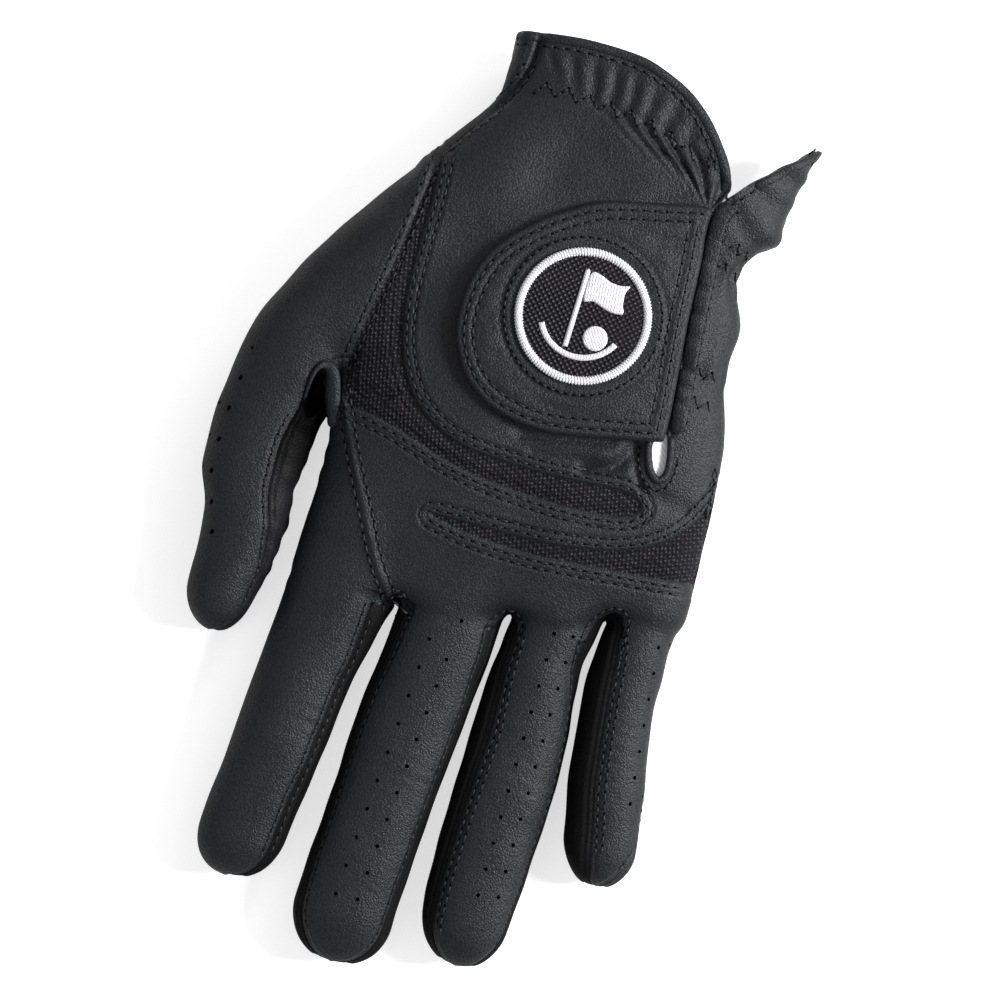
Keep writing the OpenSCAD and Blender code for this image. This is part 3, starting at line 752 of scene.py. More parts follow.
def plain_mesh():
    """The smooth stuffed surface, finer near seams and perforations."""
    verts, tris = base_mesh(1.0)
    verts = project(verts, 3)
    for reach in ((4.0, 1.0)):
        verts, tris = refine(verts, tris, (seam_distance(verts) < reach)[tris].any(1))
    for reach in (2.2, 1.3):
        centre = verts[tris].mean(1)
        high = centre[:, 2] > 9
        plan = centre[high][:, :2]
        best = np.full(len(plan), 1e9)
        for x, y in HOLES:
            best = np.minimum(best, (plan[:, 0] - x) ** 2 + (plan[:, 1] - y) ** 2)
        distance = np.full(len(centre), 1e9)
        distance[high] = np.sqrt(best)
        verts, tris = refine(verts, tris, distance < reach)
    return project(verts, 2), tris


def seam_relief(points, on_top, row_distance):
    """Sunk seams with a crease at the joint, grooves under the stitch rows."""
    plan = points[:, :2]
    web = np.where(on_top, line_distance(plan, WEB, 1.0), 1e9)
    out = 0.62 * bell(web, 0.75) + 0.2 * bell(web, 3.0)
    for outline in (SIDE_MESH, KNUCKLE_MESH):  # mesh lies lower, leather swells round it
        edge = np.full(len(points), 9.0)
        edge[on_top] = polygon_sdf(plan[on_top], outline)
        out += -0.42 * rise(edge, 0.1, -0.6) + 0.22 * bell(edge - 1.0, 0.9) * (edge > -0.2)
    seam = seam_distance(points)
    out += -0.62 * np.exp(-seam / 0.5) - 0.30 * bell(seam, 2.6)
    # first and second stitch row, each a groove with a swell beside it
    out += -0.20 * bell(seam - 1.35, 0.42) + 0.10 * bell(seam - 2.2, 0.5)
    out += -0.22 * bell(row_distance - 3.0, 0.42) + 0.12 * bell(row_distance - 3.9, 0.7)
    return out


# leather bunched round the drop-shaped opening: line, half width, depth
BUNCHES = [
    ([(-2, -1.6), (8, 0.4), (15, 2.0), (19, 3.2)], 1.5, 1.0),
    ([(15.5, -5.4), (20.5, -3.4), (23.6, -0.6), (25.2, 3.4)], 1.7, 1.7),
    ([(30.0, -6.0), (27.6, -3.0), (26.4, 0.8), (26.4, 4.4)], 1.0, 1.0),
    ([(2, -5.0), (9, -4.4), (16, -2.6)], 1.5, 0.55),
    ([(33.5, -6.5), (38.5, -7.6), (42, -8.0)], 2.6, 0.6),
]


def wrinkle_relief(points, on_top, row_distance):
    """Fine wrinkles inside the thumb, and the bunches in front of the tab."""
    x, y, _ = points.T
    plan = points[:, :2]
    thumb = rise(x, -58, -52) * rise(x, -44, -47) * rise(y, -60, -52) * rise(y, 4, -2)
    out = thumb * (0.11 * noise(points, 7.0, 5, stretch=(1.2, 0.6, 1.4)) - 0.15)
    # fade out near the opening and the seams
    clear = rise(line_distance(plan, DROP, 0.6), 1.9, 3.2) * rise(row_distance, 0.8, 3.2)
    for line, width, depth in BUNCHES:
        out += -depth * on_top * bell(line_distance(plan, spline(line), 0.8), width) * clear
    # a swell between them
    return out + 0.5 * bell(x - 16, 11) * bell(y + 1.2, 3.4) * on_top


FAN = np.array([25.5, 61.5])  # where the folds start, near the rear end of the slit


def gather_relief(points, on_top):
    """Folds fan out from the slit to the elastic, then run on to the cuff."""
    x, y, _ = points.T
    plan = points[:, :2]
    # position on the elastic seen from the fan's centre, and how far out the point is
    spokes = ELASTIC - FAN
    spoke_angle = np.degrees(np.arctan2(spokes[:, 1], spokes[:, 0]))
    order = np.argsort(spoke_angle)
    angle = np.degrees(np.arctan2(y - FAN[1], x - FAN[0]))
    fan_place = np.interp(angle, spoke_angle[order], arc_length(ELASTIC)[order])
    reach = np.hypot(x - FAN[0], y - FAN[1])
    limit = np.maximum(np.interp(angle, spoke_angle[order],
                                 np.hypot(spokes[:, 0], spokes[:, 1])[order]), 1)
    beyond = smooth01((reach - 0.98 * limit) / 2.5)
    # nearest place on the elastic, for the folds behind it
    samples = resample(ELASTIC, 0.8)
    cuff_place = np.zeros(len(points))
    rear = np.where((y > 62) & on_top)[0]
    for start in range(0, len(rear), 20000):
        block = rear[start:start + 20000]
        square = ((plan[block][:, None] - samples[None]) ** 2).sum(-1)
        cuff_place[block] = square.argmin(1) * 0.8
    cuff_wave = 0.5 + 0.5 * np.cos(
        2 * math.pi * (cuff_place + 0.7 * noise(points, 20, 17)) / 5.0)
    fan_wave = 0.5 + 0.5 * np.cos(2 * math.pi * (fan_place + 0.9 * noise(points, 30, 13)) / 7.6)
    amount = rise(fan_place, 8, 24) * rise(angle, 62, 74) * rise(angle, 168, 154)
    amount = amount * on_top * (y > 50)
    fan_folds = (rise(reach / limit, 0.1, 0.6) * (0.3 - 1.45 * fan_wave ** 2.0)
                 * (0.6 + 0.4 * rise(fan_place, 18, 32)))
    cuff_folds = ((0.15 - 0.85 * cuff_wave ** 1.6)
                  * rise(line_distance(plan, CUFF, 1.5), 2.5, 7.0))
    out = amount * ((1 - beyond) * fan_folds + beyond * cuff_folds)
    # a groove along the elastic itself
    return out - 0.35 * amount * bell(line_distance(plan, ELASTIC, 1.0), 1.6)


def cuff_seam_relief(points, on_top):
    """A raised welt left of the rear part of the thumb seam, and a groove on the seam."""
    x, y, _ = points.T
    seam = THUMB_SEAM[THUMB_SEAM[:, 1] > 40]
    order = np.argsort(seam[:, 1])
    left = np.interp(y, seam[order, 1], seam[order, 0]) > x
    distance = line_distance(points[:, :2], seam, 1.0)
    fade = on_top * rise(y, 44, 54)
    welt = 0.55 * rise(distance, 0, 1) * rise(distance, 5.2, 3.0)
    return fade * left * (welt - 0.25 * bell(distance - 5.4, 0.8)) - 0.5 * fade * bell(distance, 0.8)


def wing_relief(points, on_top):
    """Puckers and pulls right of the slit."""
    x, y, z = points.T
    wing = rise(x, 30, 33) * rise(y, 18, 28)
    # two lines across, at which the leather is drawn in
    pull = np.minimum(np.abs(y - 50.2 + (x - 34) * 0.47), np.abs(y - 23 + (x - 38) * 0.17))
    pucker = np.sin((x * 0.5 - z * 0.9) * 2 * math.pi / 4.6 + noise(points, 15, 12))
    ripple = np.sin((y * 0.8 + x * 0.35) * 2 * math.pi / 7.0 + 0.8 * noise(points, 18, 15))
    return (wing * 0.6 * bell(pull, 5.5) * pucker
            + 0.4 * rise(x, 31, 35) * rise(y, 54, 60) * ripple * on_top
            - 0.6 * wing * bell(pull, 1.5))


def palm_relief(points):
    """Three long soft creases: two across the palm, one along the thumb root."""
    x, y, z = points.T
    return rise(z, 3.5, 0.5) * (
        -0.35 * bell(y + 18 + 0.16 * x + 3 * np.sin(x / 22), 1.4)
        - 0.3 * bell(y + 34 - 0.12 * x - 2 * np.sin(x / 17), 1.2)
        - 0.3 * bell(x + 26 - 8 * np.sin((y - 5) / 40), 1.6) * rise(y, -30, -20) * rise(y, 60, 50))


def joint_relief(points):
    """Creases across each finger at its tip joint, stronger on the palm side."""
    x, y, z = points.T
    out = np.zeros(len(points))
    for name in MELT_Y:
        from_joint = y - sum(TIP_BEND[name]) / 2
        centre, half_width, half_height = section_at(LIMBS[name]["table"], y)
        near = (np.abs(x - centre) < half_width + 1) & (np.abs(from_joint) < 14)
        crease = 0.10 * bell(from_joint, 6) * np.sin(
            from_joint * 2 * math.pi / 3.4 + 0.02 * (x - centre) ** 2)
        strength = np.where(z < 6, 2.2, 0.7) * rise(np.abs(z - half_height), 3.5, 6.5)
        out += np.where(near, crease * strength, 0)
    return out


def relief(points):
    """Height of the skin above the plain surface."""
    _, y, z = points.T
    on_top = z > hand_height(y) - 1.0
    lines = (SIDE_REAR, SIDE_FRONT, KNUCKLE_FRONT, KNUCKLE_REAR)
    row_distance = np.where(on_top & (y > -50), np.min(
        [line_distance(points[:, :2], line, 1.2) for line in lines], 0), 9.0)
    out = 0.16 * noise(points, 30, 1) + 0.07 * noise(points, 12, 2)  # uneven stuffing
    out += seam_relief(points, on_top, row_distance)
    out += wrinkle_relief(points, on_top, row_distance)
    out += gather_relief(points, on_top)
    out += cuff_seam_relief(points, on_top)
    out += wing_relief(points, on_top)
    out += palm_relief(points)
    out += joint_relief(points)
    return np.where(z < 2, np.minimum(out, z), out)  # keep the underside above the table


PLAIN, TRIS = plain_mesh()
SKIN_VERTS = PLAIN + unit(gradient(PLAIN), 1e-6) * relief(PLAIN)[:, None]
SKIN = dict(plain=PLAIN, skin=SKIN_VERTS, normal=vertex_normals(SKIN_VERTS, TRIS))
SKIN_TREE = BVHTree.FromPolygons(SKIN_VERTS.tolist(), TRIS.tolist())


def drop(x, y, tree=SKIN_TREE, below=False):
    """The point of the surface met from above, or from below, and the normal there."""
    start, heading, fallback = (-30, 1, 0) if below else (60, -1, 20)
    hit = tree.ray_cast(Vector((x, y, start)), Vector((0, 0, heading)))
    if hit[0] is None:
        hit = tree.find_nearest(Vector((x, y, fallback)))
    return np.array(hit[0]), np.array(hit[1])


def on_surface(line, step, lift=0.0, tree=SKIN_TREE, below=False):
    """Plan line laid on the surface: points and normals."""
    hits = [drop(x, y, tree, below) for x, y in resample(line, step)]
    normals = np.array([hit[1] for hit in hits])
    return np.array([hit[0] for hit in hits]) + normals * lift, normals


def base_z(plan):
    """Height of the plain stuffed surface over plan points."""
    height = hand_height(plan[:, 1]) * 2
    for _ in range(8):
        points = np.c_[plan, height]
        slope = (sdf(points + [0, 0, 0.05]) - sdf(points - [0, 0, 0.05])) / 0.1
        height = height - sdf(points) / np.maximum(slope, 0.35)
    return height


# ---------------------------------------------------------------------------
# 7. Cutting fields: negative on the side that is kept
# ---------------------------------------------------------------------------


def limb_field(points, name):
    parts = parts_sdf(points)
    own = parts.pop(name)
    others = np.min(np.stack(list(parts.values())), 0)
    return np.maximum(np.clip(own - others, -5, 5), points[:, 1] - BASE_Y[name])


def within(outline):
    return lambda points: polygon_sdf(points[:, :2], outline)


def negate(field):
    return lambda points: -field(points)


def outside(outline):
    return negate(within(outline))


def back_field(points):
    return np.maximum(polygon_sdf(points[:, :2], RIGHT_OF_THUMB), 6.0 - points[:, 2])


def thumb_top_field(points):
    return np.maximum.reduce([-polygon_sdf(points[:, :2], RIGHT_OF_THUMB),
                              3.0 - points[:, 2], -2.2 - points[:, 1]])


def under_field(points):
    return np.maximum(-back_field(points), -thumb_top_field(points))


def thumb_under_field(points):
    return np.maximum(polygon_sdf(points[:, :2], THUMB_UNDER), points[:, 2] - 14)


def cuff_field(points):
    """The rear opening, cut along one line on the back and another on the palm."""
    share = rise(points[:, 2], 5, 14)
    return (share * polygon_sdf(points[:, :2], BACK_EXTENT)
            + (1 - share) * polygon_sdf(points[:, :2], PALM_EXTENT))


def fork_field(points):
    forks = np.min([polygon_sdf(points[:, :2], outline) for outline in FORKS], 0)
    return np.maximum(forks, 4.0 - points[:, 2])


# left edge of the flap along the slit: y, then x
FLAP_EDGE = ([8.0, 10, 14, 22, 31, 42, 52, 60, 66.6, 90],
             [32.2, 32.4, 32.4, 32.0, 31.1, 30.0, 29.2, 28.7, 29.0, 29.0])


def flap_field(points):
    """Between the slit and the fold on its right."""
    x, y, z = points.T
    fold_x = 36.15 + (y + 2) * 5 / 82
    return np.maximum.reduce([x - fold_x, np.interp(y, *FLAP_EDGE) - x, 8.4 - y, 9 - z])


def hole_field(centres, radius, slot=None):
    """Cuts holes. slot is (heading x, heading y, stretch) for holes longer one way."""
    def field(points):
        distance = np.full(len(points), 1e9)
        for centre in centres:
            x, y, z = (points - centre).T
            if slot is None:
                own = np.sqrt(x * x + y * y + z * z)
            else:
                long = x * slot[0] + y * slot[1]
                across = -x * slot[1] + y * slot[0]
                own = np.sqrt((long / slot[2]) ** 2 + across ** 2 + z ** 2 * 0.3)
            distance = np.minimum(distance, own)
        return radius - distance
    return field


def cut(attrs, tris, *fields):
    for field in fields:
        if len(tris) == 0:
            break
        attrs, tris = clip(attrs, tris, field(attrs["plain"]))
        attrs["normal"] = unit(attrs["normal"], 1e-9)
    return attrs, tris


LIMB_FIELDS = {name: limb_field(PLAIN, name) for name in LIMBS}
LIMB_MESH = {name: cut(SKIN, TRIS, lambda _: LIMB_FIELDS[name]) for name in LIMBS}
HAND_MESH = cut(
    SKIN, TRIS, lambda _: np.maximum.reduce([-field for field in LIMB_FIELDS.values()]), cuff_field)

HOLE_POINTS = {name: [] for name in (*LIMBS, "hand")}
for hole in HOLES[:, None]:
    centre = project(np.c_[hole, base_z(hole)], 2)
    for name in LIMBS:
        if limb_field(centre, name)[0] < 0.8:
            HOLE_POINTS[name].append(centre[0])
    HOLE_POINTS["hand"].append(centre[0])
for degrees, y in THUMB_SIDE_HOLES:
    centre, half_width, half_height = section_at(LIMBS["thumb"]["table"], y)
    angle = math.radians(degrees)
    point = (centre + half_width * math.cos(angle), y, half_height * (1 + math.sin(angle)))
    HOLE_POINTS["thumb"].append(project(np.array([point]), 3)[0])

# ---------------------------------------------------------------------------
# 8. Materials (texture scales per metre, bump distances in metres, colours in sRGB bytes)
# ---------------------------------------------------------------------------


def linear(colour):
    return tuple(byte / 255 / 12.92 if byte <= 10.3 else ((byte / 255 + 0.055) / 1.055) ** 2.4
                 for byte in colour)


class Shader:
    """A material with a Principled surface, and short ways to add nodes to it."""

    def __init__(self, name):
        self.material = bpy.data.materials.new(name)
        self.material.use_nodes = True
        self.tree = self.material.node_tree
        self.tree.nodes.clear()
        output = self.tree.nodes.new("ShaderNodeOutputMaterial")
        self.surface = self.tree.nodes.new("ShaderNodeBsdfPrincipled")
        self.tree.links.new(self.surface.outputs[0], output.inputs[0])

    def feed(self, socket, value):
        if isinstance(value, bpy.types.NodeSocket):
            self.tree.links.new(value, socket)
        else:
            socket.default_value = value

    def node(self, kind, inputs=None, **settings):
        node = self.tree.nodes.new("ShaderNode" + kind)
        for key, value in settings.items():
            setattr(node, key, value)
        for key, value in (inputs or {}).items():
            self.feed(node.inputs[key], value)
        return node

    def math(self, operation, *values, clamp=False):
        values = (*values, 0.0, 0.0)[:3]
        node = self.node("Math", dict(enumerate(values)), operation=operation, use_clamp=clamp)
        return node.outputs[0]

    def times(self, value, factor, clamp=False):
        return self.math("MULTIPLY", value, factor, clamp=clamp)

    def plus(self, value, other):
        return self.math("ADD", value, other)

    def times_plus(self, value, factor, offset, clamp=False):
        return self.math("MULTIPLY_ADD", value, factor, offset, clamp=clamp)

    def rest(self):
        return self.node("Attribute", attribute_name="rest",
                         attribute_type="GEOMETRY").outputs["Vector"]

    def axes(self, vector):
        return self.node("SeparateXYZ", {"Vector": vector}).outputs

    def noise(self, vector, scale, detail, output=0):
        inputs = dict(Vector=vector, Scale=scale, Detail=detail)
        return self.node("TexNoise", inputs).outputs[output]

    def cells(self, vector, scale):
        return self.node("TexVoronoi", dict(Vector=vector, Scale=scale),
                         feature="F1").outputs["Distance"]

    def ramp(self, factor, low, high):
        """low and high are (position, linear colour)."""
        node = self.node("ValToRGB", {0: factor})
        for element, (position, colour) in zip(node.color_ramp.elements, (low, high)):
            element.position = position
            element.color = (*colour, 1)
        return node.outputs[0]

    def mix(self, factor, first, second, **settings):
        return self.node("Mix", {"Factor": factor, 6: first, 7: second},
                         data_type="RGBA", **settings).outputs[2]

    def bump(self, height, distance, strength):
        inputs = dict(Strength=strength, Distance=distance, Height=height)
        return self.node("Bump", inputs).outputs[0]

    def finish(self, **inputs):
        for key, value in inputs.items():
            self.feed(self.surface.inputs[key.replace("_", " ")], value)
        return self.material


def leather(name, dark, light, rough, grain, depth, strength, specular, shade=None):
    """Pebbled leather. shade is (centre, radius) of a spot of painted shade, where the colour
    darkens.
    """
    shader = Shader(name)
    rest = shader.rest()
    warp = shader.noise(rest, 620.0, 2.0, "Color")
    warped = shader.node("VectorMath", {0: warp, 1: (0.0008, 0.0008, 0.0008), 2: rest},
                         operation="MULTIPLY_ADD").outputs[0]
    cells = shader.cells(warped, grain)
    fine = shader.noise(warped, grain * 2.0, 2.0)
    pebble = shader.times_plus(cells, -1.35, 1.05, clamp=True)
    height = shader.times_plus(fine, 0.35, pebble)
    broad = shader.noise(rest, 70.0, 3.0)
    tone = shader.plus(shader.times_plus(fine, 0.3, shader.times(pebble, 0.55)),
                       shader.times_plus(broad, 0.5, -0.2))
    colour = shader.ramp(tone, (0.2, linear(dark)), (0.95, linear(light)))
    roughness = shader.times_plus(pebble, -0.14, rough + 0.10)
    # painted shade: colour and specular level fall off towards the spot's centre
    if shade:
        centre, radius = shade
        far = shader.node("VectorMath", {0: rest, 1: centre},
                          operation="DISTANCE").outputs["Value"]
        light_share = shader.times_plus(far, 0.9 / radius, 0.1, clamp=True)
        light_share = shader.math("POWER", light_share, 1.6)
        colour = shader.mix(1.0, colour, light_share, blend_type="MULTIPLY")
        specular = shader.times(light_share, specular)
    return shader.finish(
        Base_Color=colour, Roughness=roughness, Normal=shader.bump(height, depth, strength),
        Specular_IOR_Level=specular, Sheen_Weight=0.0, Sheen_Roughness=0.5)


def knit(name, base, speck, pitch):
    """Knitted mesh with pale specks, set at an angle to the hand."""
    shader = Shader(name)
    rest = shader.rest()
    turned_rest = shader.node("Mapping", dict(Vector=rest, Rotation=(0, 0, 0.5))).outputs[0]
    axes = shader.axes(turned_rest)
    wave = 2 * math.pi / pitch
    column = shader.math("SINE", shader.times(axes[0], wave))
    course = shader.math("SINE", shader.times_plus(axes[1], wave * 0.86,
                                                   shader.times(column, 0.6)))
    loops = shader.times(column, course)
    fibre = shader.noise(rest, 1900.0, 1.0)
    height = shader.plus(shader.times(loops, 0.6), shader.times(fibre, 0.9))
    specks = shader.times(shader.times_plus(loops, 3.0, -0.9, clamp=True),
                          shader.times_plus(fibre, 3.6, -1.35, clamp=True))
    broad = shader.noise(rest, 150.0, 2.0)
    base = linear(base)
    ground = shader.ramp(shader.times_plus(loops, 0.35, shader.times(broad, 0.8)),
                         (0.15, tuple(part * 0.45 for part in base)), (0.85, base))
    colour = shader.mix(shader.times(specks, 0.65), ground, (*linear(speck), 1))
    return shader.finish(Base_Color=colour, Roughness=0.8, Specular_IOR_Level=0.2,
                         Normal=shader.bump(height, distance=0.00025, strength=0.9))


def woven(name, base, speck, pitch):
    """Plain weave: light floats on a dark ground, offset row by row."""
    shader = Shader(name)
    rest = shader.rest()
    axes = shader.axes(rest)
    wave = 2 * math.pi / (2 * pitch)
    warp = shader.math("COSINE", shader.times(axes[0], wave))
    weft = shader.math("COSINE", shader.times(axes[1], wave))
    weave = shader.times(warp, weft)
    fibre = shader.noise(rest, 1700.0, 2.0)
    floats = shader.times(shader.math("GREATER_THAN", weave, 0.55),
                          shader.times_plus(fibre, 1.2, -0.1), clamp=True)
    base = linear(base)
    ground = shader.ramp(shader.times_plus(weave, 0.4, shader.times(fibre, 0.7)),
                         (0.1, tuple(part * 0.5 for part in base)), (0.9, base))
    colour = shader.mix(floats, ground, (*linear(speck), 1))
    bump = shader.bump(shader.plus(weave, fibre), distance=0.0002, strength=0.8)
    return shader.finish(Base_Color=colour, Roughness=0.75, Normal=bump, Specular_IOR_Level=0.2)


def yarn(name, dark, light, rough, scale=2200.0, specular=0.4, sheen=0.2):
    shader = Shader(name)
    rest = shader.rest()
    fibre = shader.noise(rest, scale, 2.0)
    twist = shader.node("TexWave", dict(Vector=rest, Scale=scale * 0.32, Distortion=2.0),
                        bands_direction="DIAGONAL").outputs["Fac"]
    height = shader.plus(shader.times(fibre, 0.6), shader.times(twist, 0.4))
    return shader.finish(
        Base_Color=shader.ramp(height, (0.25, linear(dark)), (0.75, linear(light))),
        Roughness=rough, Normal=shader.bump(height, distance=0.0001, strength=0.5),
        Specular_IOR_Level=specular, Sheen_Weight=sheen)


def stripes(name, dark, light, pitch, axis, rough=0.6, depth=0.0002):
    """Ribbed cloth; the ribs repeat along the axis (0 is x, 1 is y)."""
    shader = Shader(name)
    rest = shader.rest()
    rib = shader.math("SINE", shader.times(shader.axes(rest)[axis], 2 * math.pi / pitch))
    fibre = shader.noise(rest, 1800.0, 2.0)
    height = shader.plus(shader.times_plus(rib, 0.3, 0.3), shader.times(fibre, 0.5))
    return shader.finish(
        Base_Color=shader.ramp(height, (0.2, linear(dark)), (0.8, linear(light))),
        Roughness=rough, Normal=shader.bump(height, depth, strength=0.7), Sheen_Weight=0.2)


def pile(name, dark, light):
    shader = Shader(name)
    rest = shader.rest()
    tufts = shader.cells(rest, 1400.0)
    fibre = shader.noise(rest, 3500.0, 3.0)
    height = shader.plus(shader.times(tufts, 0.8), shader.times(fibre, 0.5))
    return shader.finish(
        Base_Color=shader.ramp(height, (0.2, linear(dark)), (0.9, linear(light))),
        Roughness=0.9, Normal=shader.bump(height, distance=0.0004, strength=1.0),
        Sheen_Weight=0.5)


MATERIALS.update({
    "leather": leather("leather_pebbled", (14, 15, 17), (34, 37, 42), rough=0.46, grain=2000.0,
                       depth=0.00014, strength=0.85, specular=0.28),
    # inner thumb leather: a darker, duller copy of the leather, painted shade for the thumb's shaded
    # inner side; its shade spot is painted shade at the pocket between thumb and hand
    "thumb_leather_painted_shade": leather("thumb_inner_leather_painted_shade", (9, 9, 11), (24, 24, 28), rough=0.55,
                             grain=1900.0, depth=0.0001, strength=0.8, specular=0.2,
                             shade=((-0.051, -0.011, 0.014), 0.021)),
    # gusset leather: a near-black copy of the leather, painted shade for the strips between the
    # fingers
    "gusset": leather("gusset_leather_painted_shade", (4, 4, 5), (12, 12, 13), rough=0.6, grain=1800.0,
                      depth=0.00006, strength=0.6, specular=0.12),
    "binding": leather("leather_binding", (14, 14, 16), (38, 40, 44), rough=0.46, grain=2000.0,
                       depth=0.00008, strength=0.8, specular=0.28),
    "mesh": knit("knit_mesh_fabric", base=(13, 11, 14), speck=(84, 80, 90), pitch=0.0013),
    # needle holes: near-black, painted shade inside the holes
    "needle_hole": yarn("needle_holes_painted_shade", (2, 2, 2), (6, 6, 6), rough=0.9, specular=0.05,
                        sheen=0.0),
    "thread": yarn("sewing_thread", (10, 10, 11), (36, 37, 41), rough=0.5, specular=0.3,
                   sheen=0.0),
    "badge_cloth": woven("badge_woven_cloth", base=(20, 18, 22), speck=(104, 100, 106),
                         pitch=0.00075),
    "white": yarn("white_embroidery", (160, 160, 164), (232, 232, 236), rough=0.55,
                  scale=2600.0),
    "white_cloth": yarn("white_lining_cloth", (215, 215, 216), (246, 246, 246), rough=0.8,
                        scale=1500.0),
    "lining": stripes("lining_fabric", (24, 24, 27), (44, 44, 48), pitch=0.0009, axis=1),
    "elastic": stripes("elastic_tape", (18, 18, 21), (42, 42, 46), pitch=0.0011, axis=0,
                       depth=0.0003),
    "pile": pile("loop_pile", (12, 12, 14), (36, 36, 40)),
    "hook": pile("hook_tape", (9, 9, 11), (30, 30, 34)),
    "satin": stripes("satin_label", (190, 190, 192), (228, 228, 230), pitch=0.0004, axis=1,
                     rough=0.35, depth=0.00003),
})

# ---------------------------------------------------------------------------
# 9. How pieces are placed: some attached to a body, the rest baked where they are
# ---------------------------------------------------------------------------


def place(ob, slot, motion, *nodes):
    if nodes:
        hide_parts(*nodes)
    motion(ob)


def with_hand(ob):
    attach(ob, "hand")


def with_tab(ob):
    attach(ob, "tab")


def to_flap(ob):
    """Bakes the transform into the mesh."""
    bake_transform(ob)


def to_tab(ob):
    """Bakes the transform into the mesh."""
    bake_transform(ob)


def to_slit_edge(ob):
    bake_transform(ob)


def with_limb(name, part):
    """Bakes the transform into the mesh."""
    return lambda ob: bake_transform(ob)


# ---------------------------------------------------------------------------
# 10. Panels
# ---------------------------------------------------------------------------


def hand_piece(name, material, slot, nodes, *fields, thick=LEATHER_THICK, share=0.02,
               motion=with_hand):
    attrs, tris = drop_islands(*cut(*HAND_MESH, *fields), share)
    place(shell(name, attrs, tris, thick, material), slot, motion, *nodes)


BACK_HOLES = [hole for hole in HOLE_POINTS["hand"] if hole[0] > -30 and hole[1] > -53]
ROOT_HOLES = [hole for hole in HOLE_POINTS["hand"] if hole[0] < -55 and hole[1] > -4]
hand_piece("back_leather", "leather", "glove_leather",
           ["back_panel", "knuckle_panel", "finger_root_panel"],
           back_field, outside(SIDE_MESH), outside(KNUCKLE_MESH), negate(fork_field),
           negate(flap_field), outside(SLIT_STRIP), outside(DROP_OUTLINE),
           hole_field(BACK_HOLES, HOLE_RADIUS))
hand_piece("knit_mesh_thumb_side", "mesh", "knit_mesh", ["thumb_mesh_insert"],
           back_field, within(SIDE_MESH), thick=MESH_THICK)
hand_piece("knit_mesh_knuckle", "mesh", "knit_mesh", ["knuckle_mesh_insert"],
           back_field, outside(SIDE_MESH), within(KNUCKLE_MESH), thick=MESH_THICK)
hand_piece("thumb_root_top_leather", "leather", "glove_leather", ["thumb_root_outer"],
           thumb_top_field, hole_field(ROOT_HOLES, HOLE_RADIUS))
# the thumb root's underside takes the darker thumb leather, painted shade
hand_piece("thumb_root_under_leather", "thumb_leather_painted_shade", "glove_leather", ["thumb_root_inner"],
           under_field, negate(fork_field), thumb_under_field)
hand_piece("palm_leather", "leather", "glove_leather", ["palm_panel"],
           under_field, negate(fork_field), negate(thumb_under_field))
# fork strips take the near-black gusset leather, painted shade between the fingers
hand_piece("fork_strips", "gusset", "trim_leather", ["crotch_gussets"],
           fork_field, thick=GUSSET_THICK, share=0.05)
hand_piece("flap_leather", "leather", "glove_leather", ["flap_panel"],
           back_field, flap_field, outside(DROP_OUTLINE), share=0.05, motion=to_flap)


def band(name, low, high):
    """Field of the strip from seam low anticlockwise to seam high."""
    def field(points):
        start = seam_angle(name, low, points[:, 1])
        end = seam_angle(name, high, points[:, 1])
        span = (end - start) % 360
        from_start = -around(points, name, start)
        to_end = around(points, name, end)
        narrow = np.maximum(from_start, to_end)
        # a wide strip is the union of two overlapping ones
        wide = np.minimum(
            np.maximum(from_start, around(points, name, start + 0.62 * span)),
            np.maximum(-around(points, name, start + 0.38 * span), to_end))
        return np.where(span > 165, wide, narrow)
    return field


# for each limb, its panels as strips between seams or angles
PANELS = {
    "index": dict(back=[("right", 205)], palm=[(205, -30)], gussets=[(-30, "right")]),
    "middle": dict(back=[("right", "left")], palm=[(210, -30)],
                   gussets=[(-30, "right"), ("left", 210)]),
    "ring": dict(back=[("right", "left")], palm=[(210, -30)],
                 gussets=[(-30, "right"), ("left", 210)]),
    "little": dict(back=[("right", "left")], palm=[(210, "right")], gussets=[("left", 210)]),
    "thumb": dict(outer=[("right", 250)], inner=[(250, "right")]),
}


def limb_panel(name, panel, part, attrs, tris):
    pieces = [cut(attrs, tris, band(name, *strip)) for strip in PANELS[name][panel]]
    starts = np.cumsum([0] + [len(piece[0]["plain"]) for piece in pieces])
    tris = np.concatenate([piece[1] + start for piece, start in zip(pieces, starts)])
    attrs = {key: np.concatenate([piece[0][key] for piece in pieces]) for key in attrs}
    if panel == "back" and HOLE_POINTS[name]:
        attrs, tris = cut(attrs, tris, hole_field(HOLE_POINTS[name], HOLE_RADIUS))
    if panel == "outer":
        attrs, tris = cut(attrs, tris, hole_field(HOLE_POINTS[name], 0.52, (0.35, 0.94, 1.5)))
    attrs, tris = drop_islands(attrs, tris, 0.03)
    gusset = panel == "gussets"
    # gussets and the thumb's inner side take darker copies of the leather, painted shade
    material = {"gussets": "gusset", "inner": "thumb_leather_painted_shade"}.get(panel, "leather")
    ob = shell(f"{name}_{panel}_{part}_leather", attrs, tris,
               GUSSET_THICK if gusset else LEATHER_THICK, material)
    place(ob, "trim_leather" if gusset else "glove_leather", with_limb(name, part),
          f"{name}_{panel}_{part}")


for name in LIMBS:
    for part, side in (("base", 1), ("tip", -1)):
        attrs, tris = cut(*LIMB_MESH[name], lambda points: side * (SPLIT_Y[name] - points[:, 1]))
        for panel in PANELS[name]:
            limb_panel(name, panel, part, attrs, tris)

# ---------------------------------------------------------------------------
# 11. Stitches
# ---------------------------------------------------------------------------
THREADS = {}
STITCH_RADIUS = 0.28
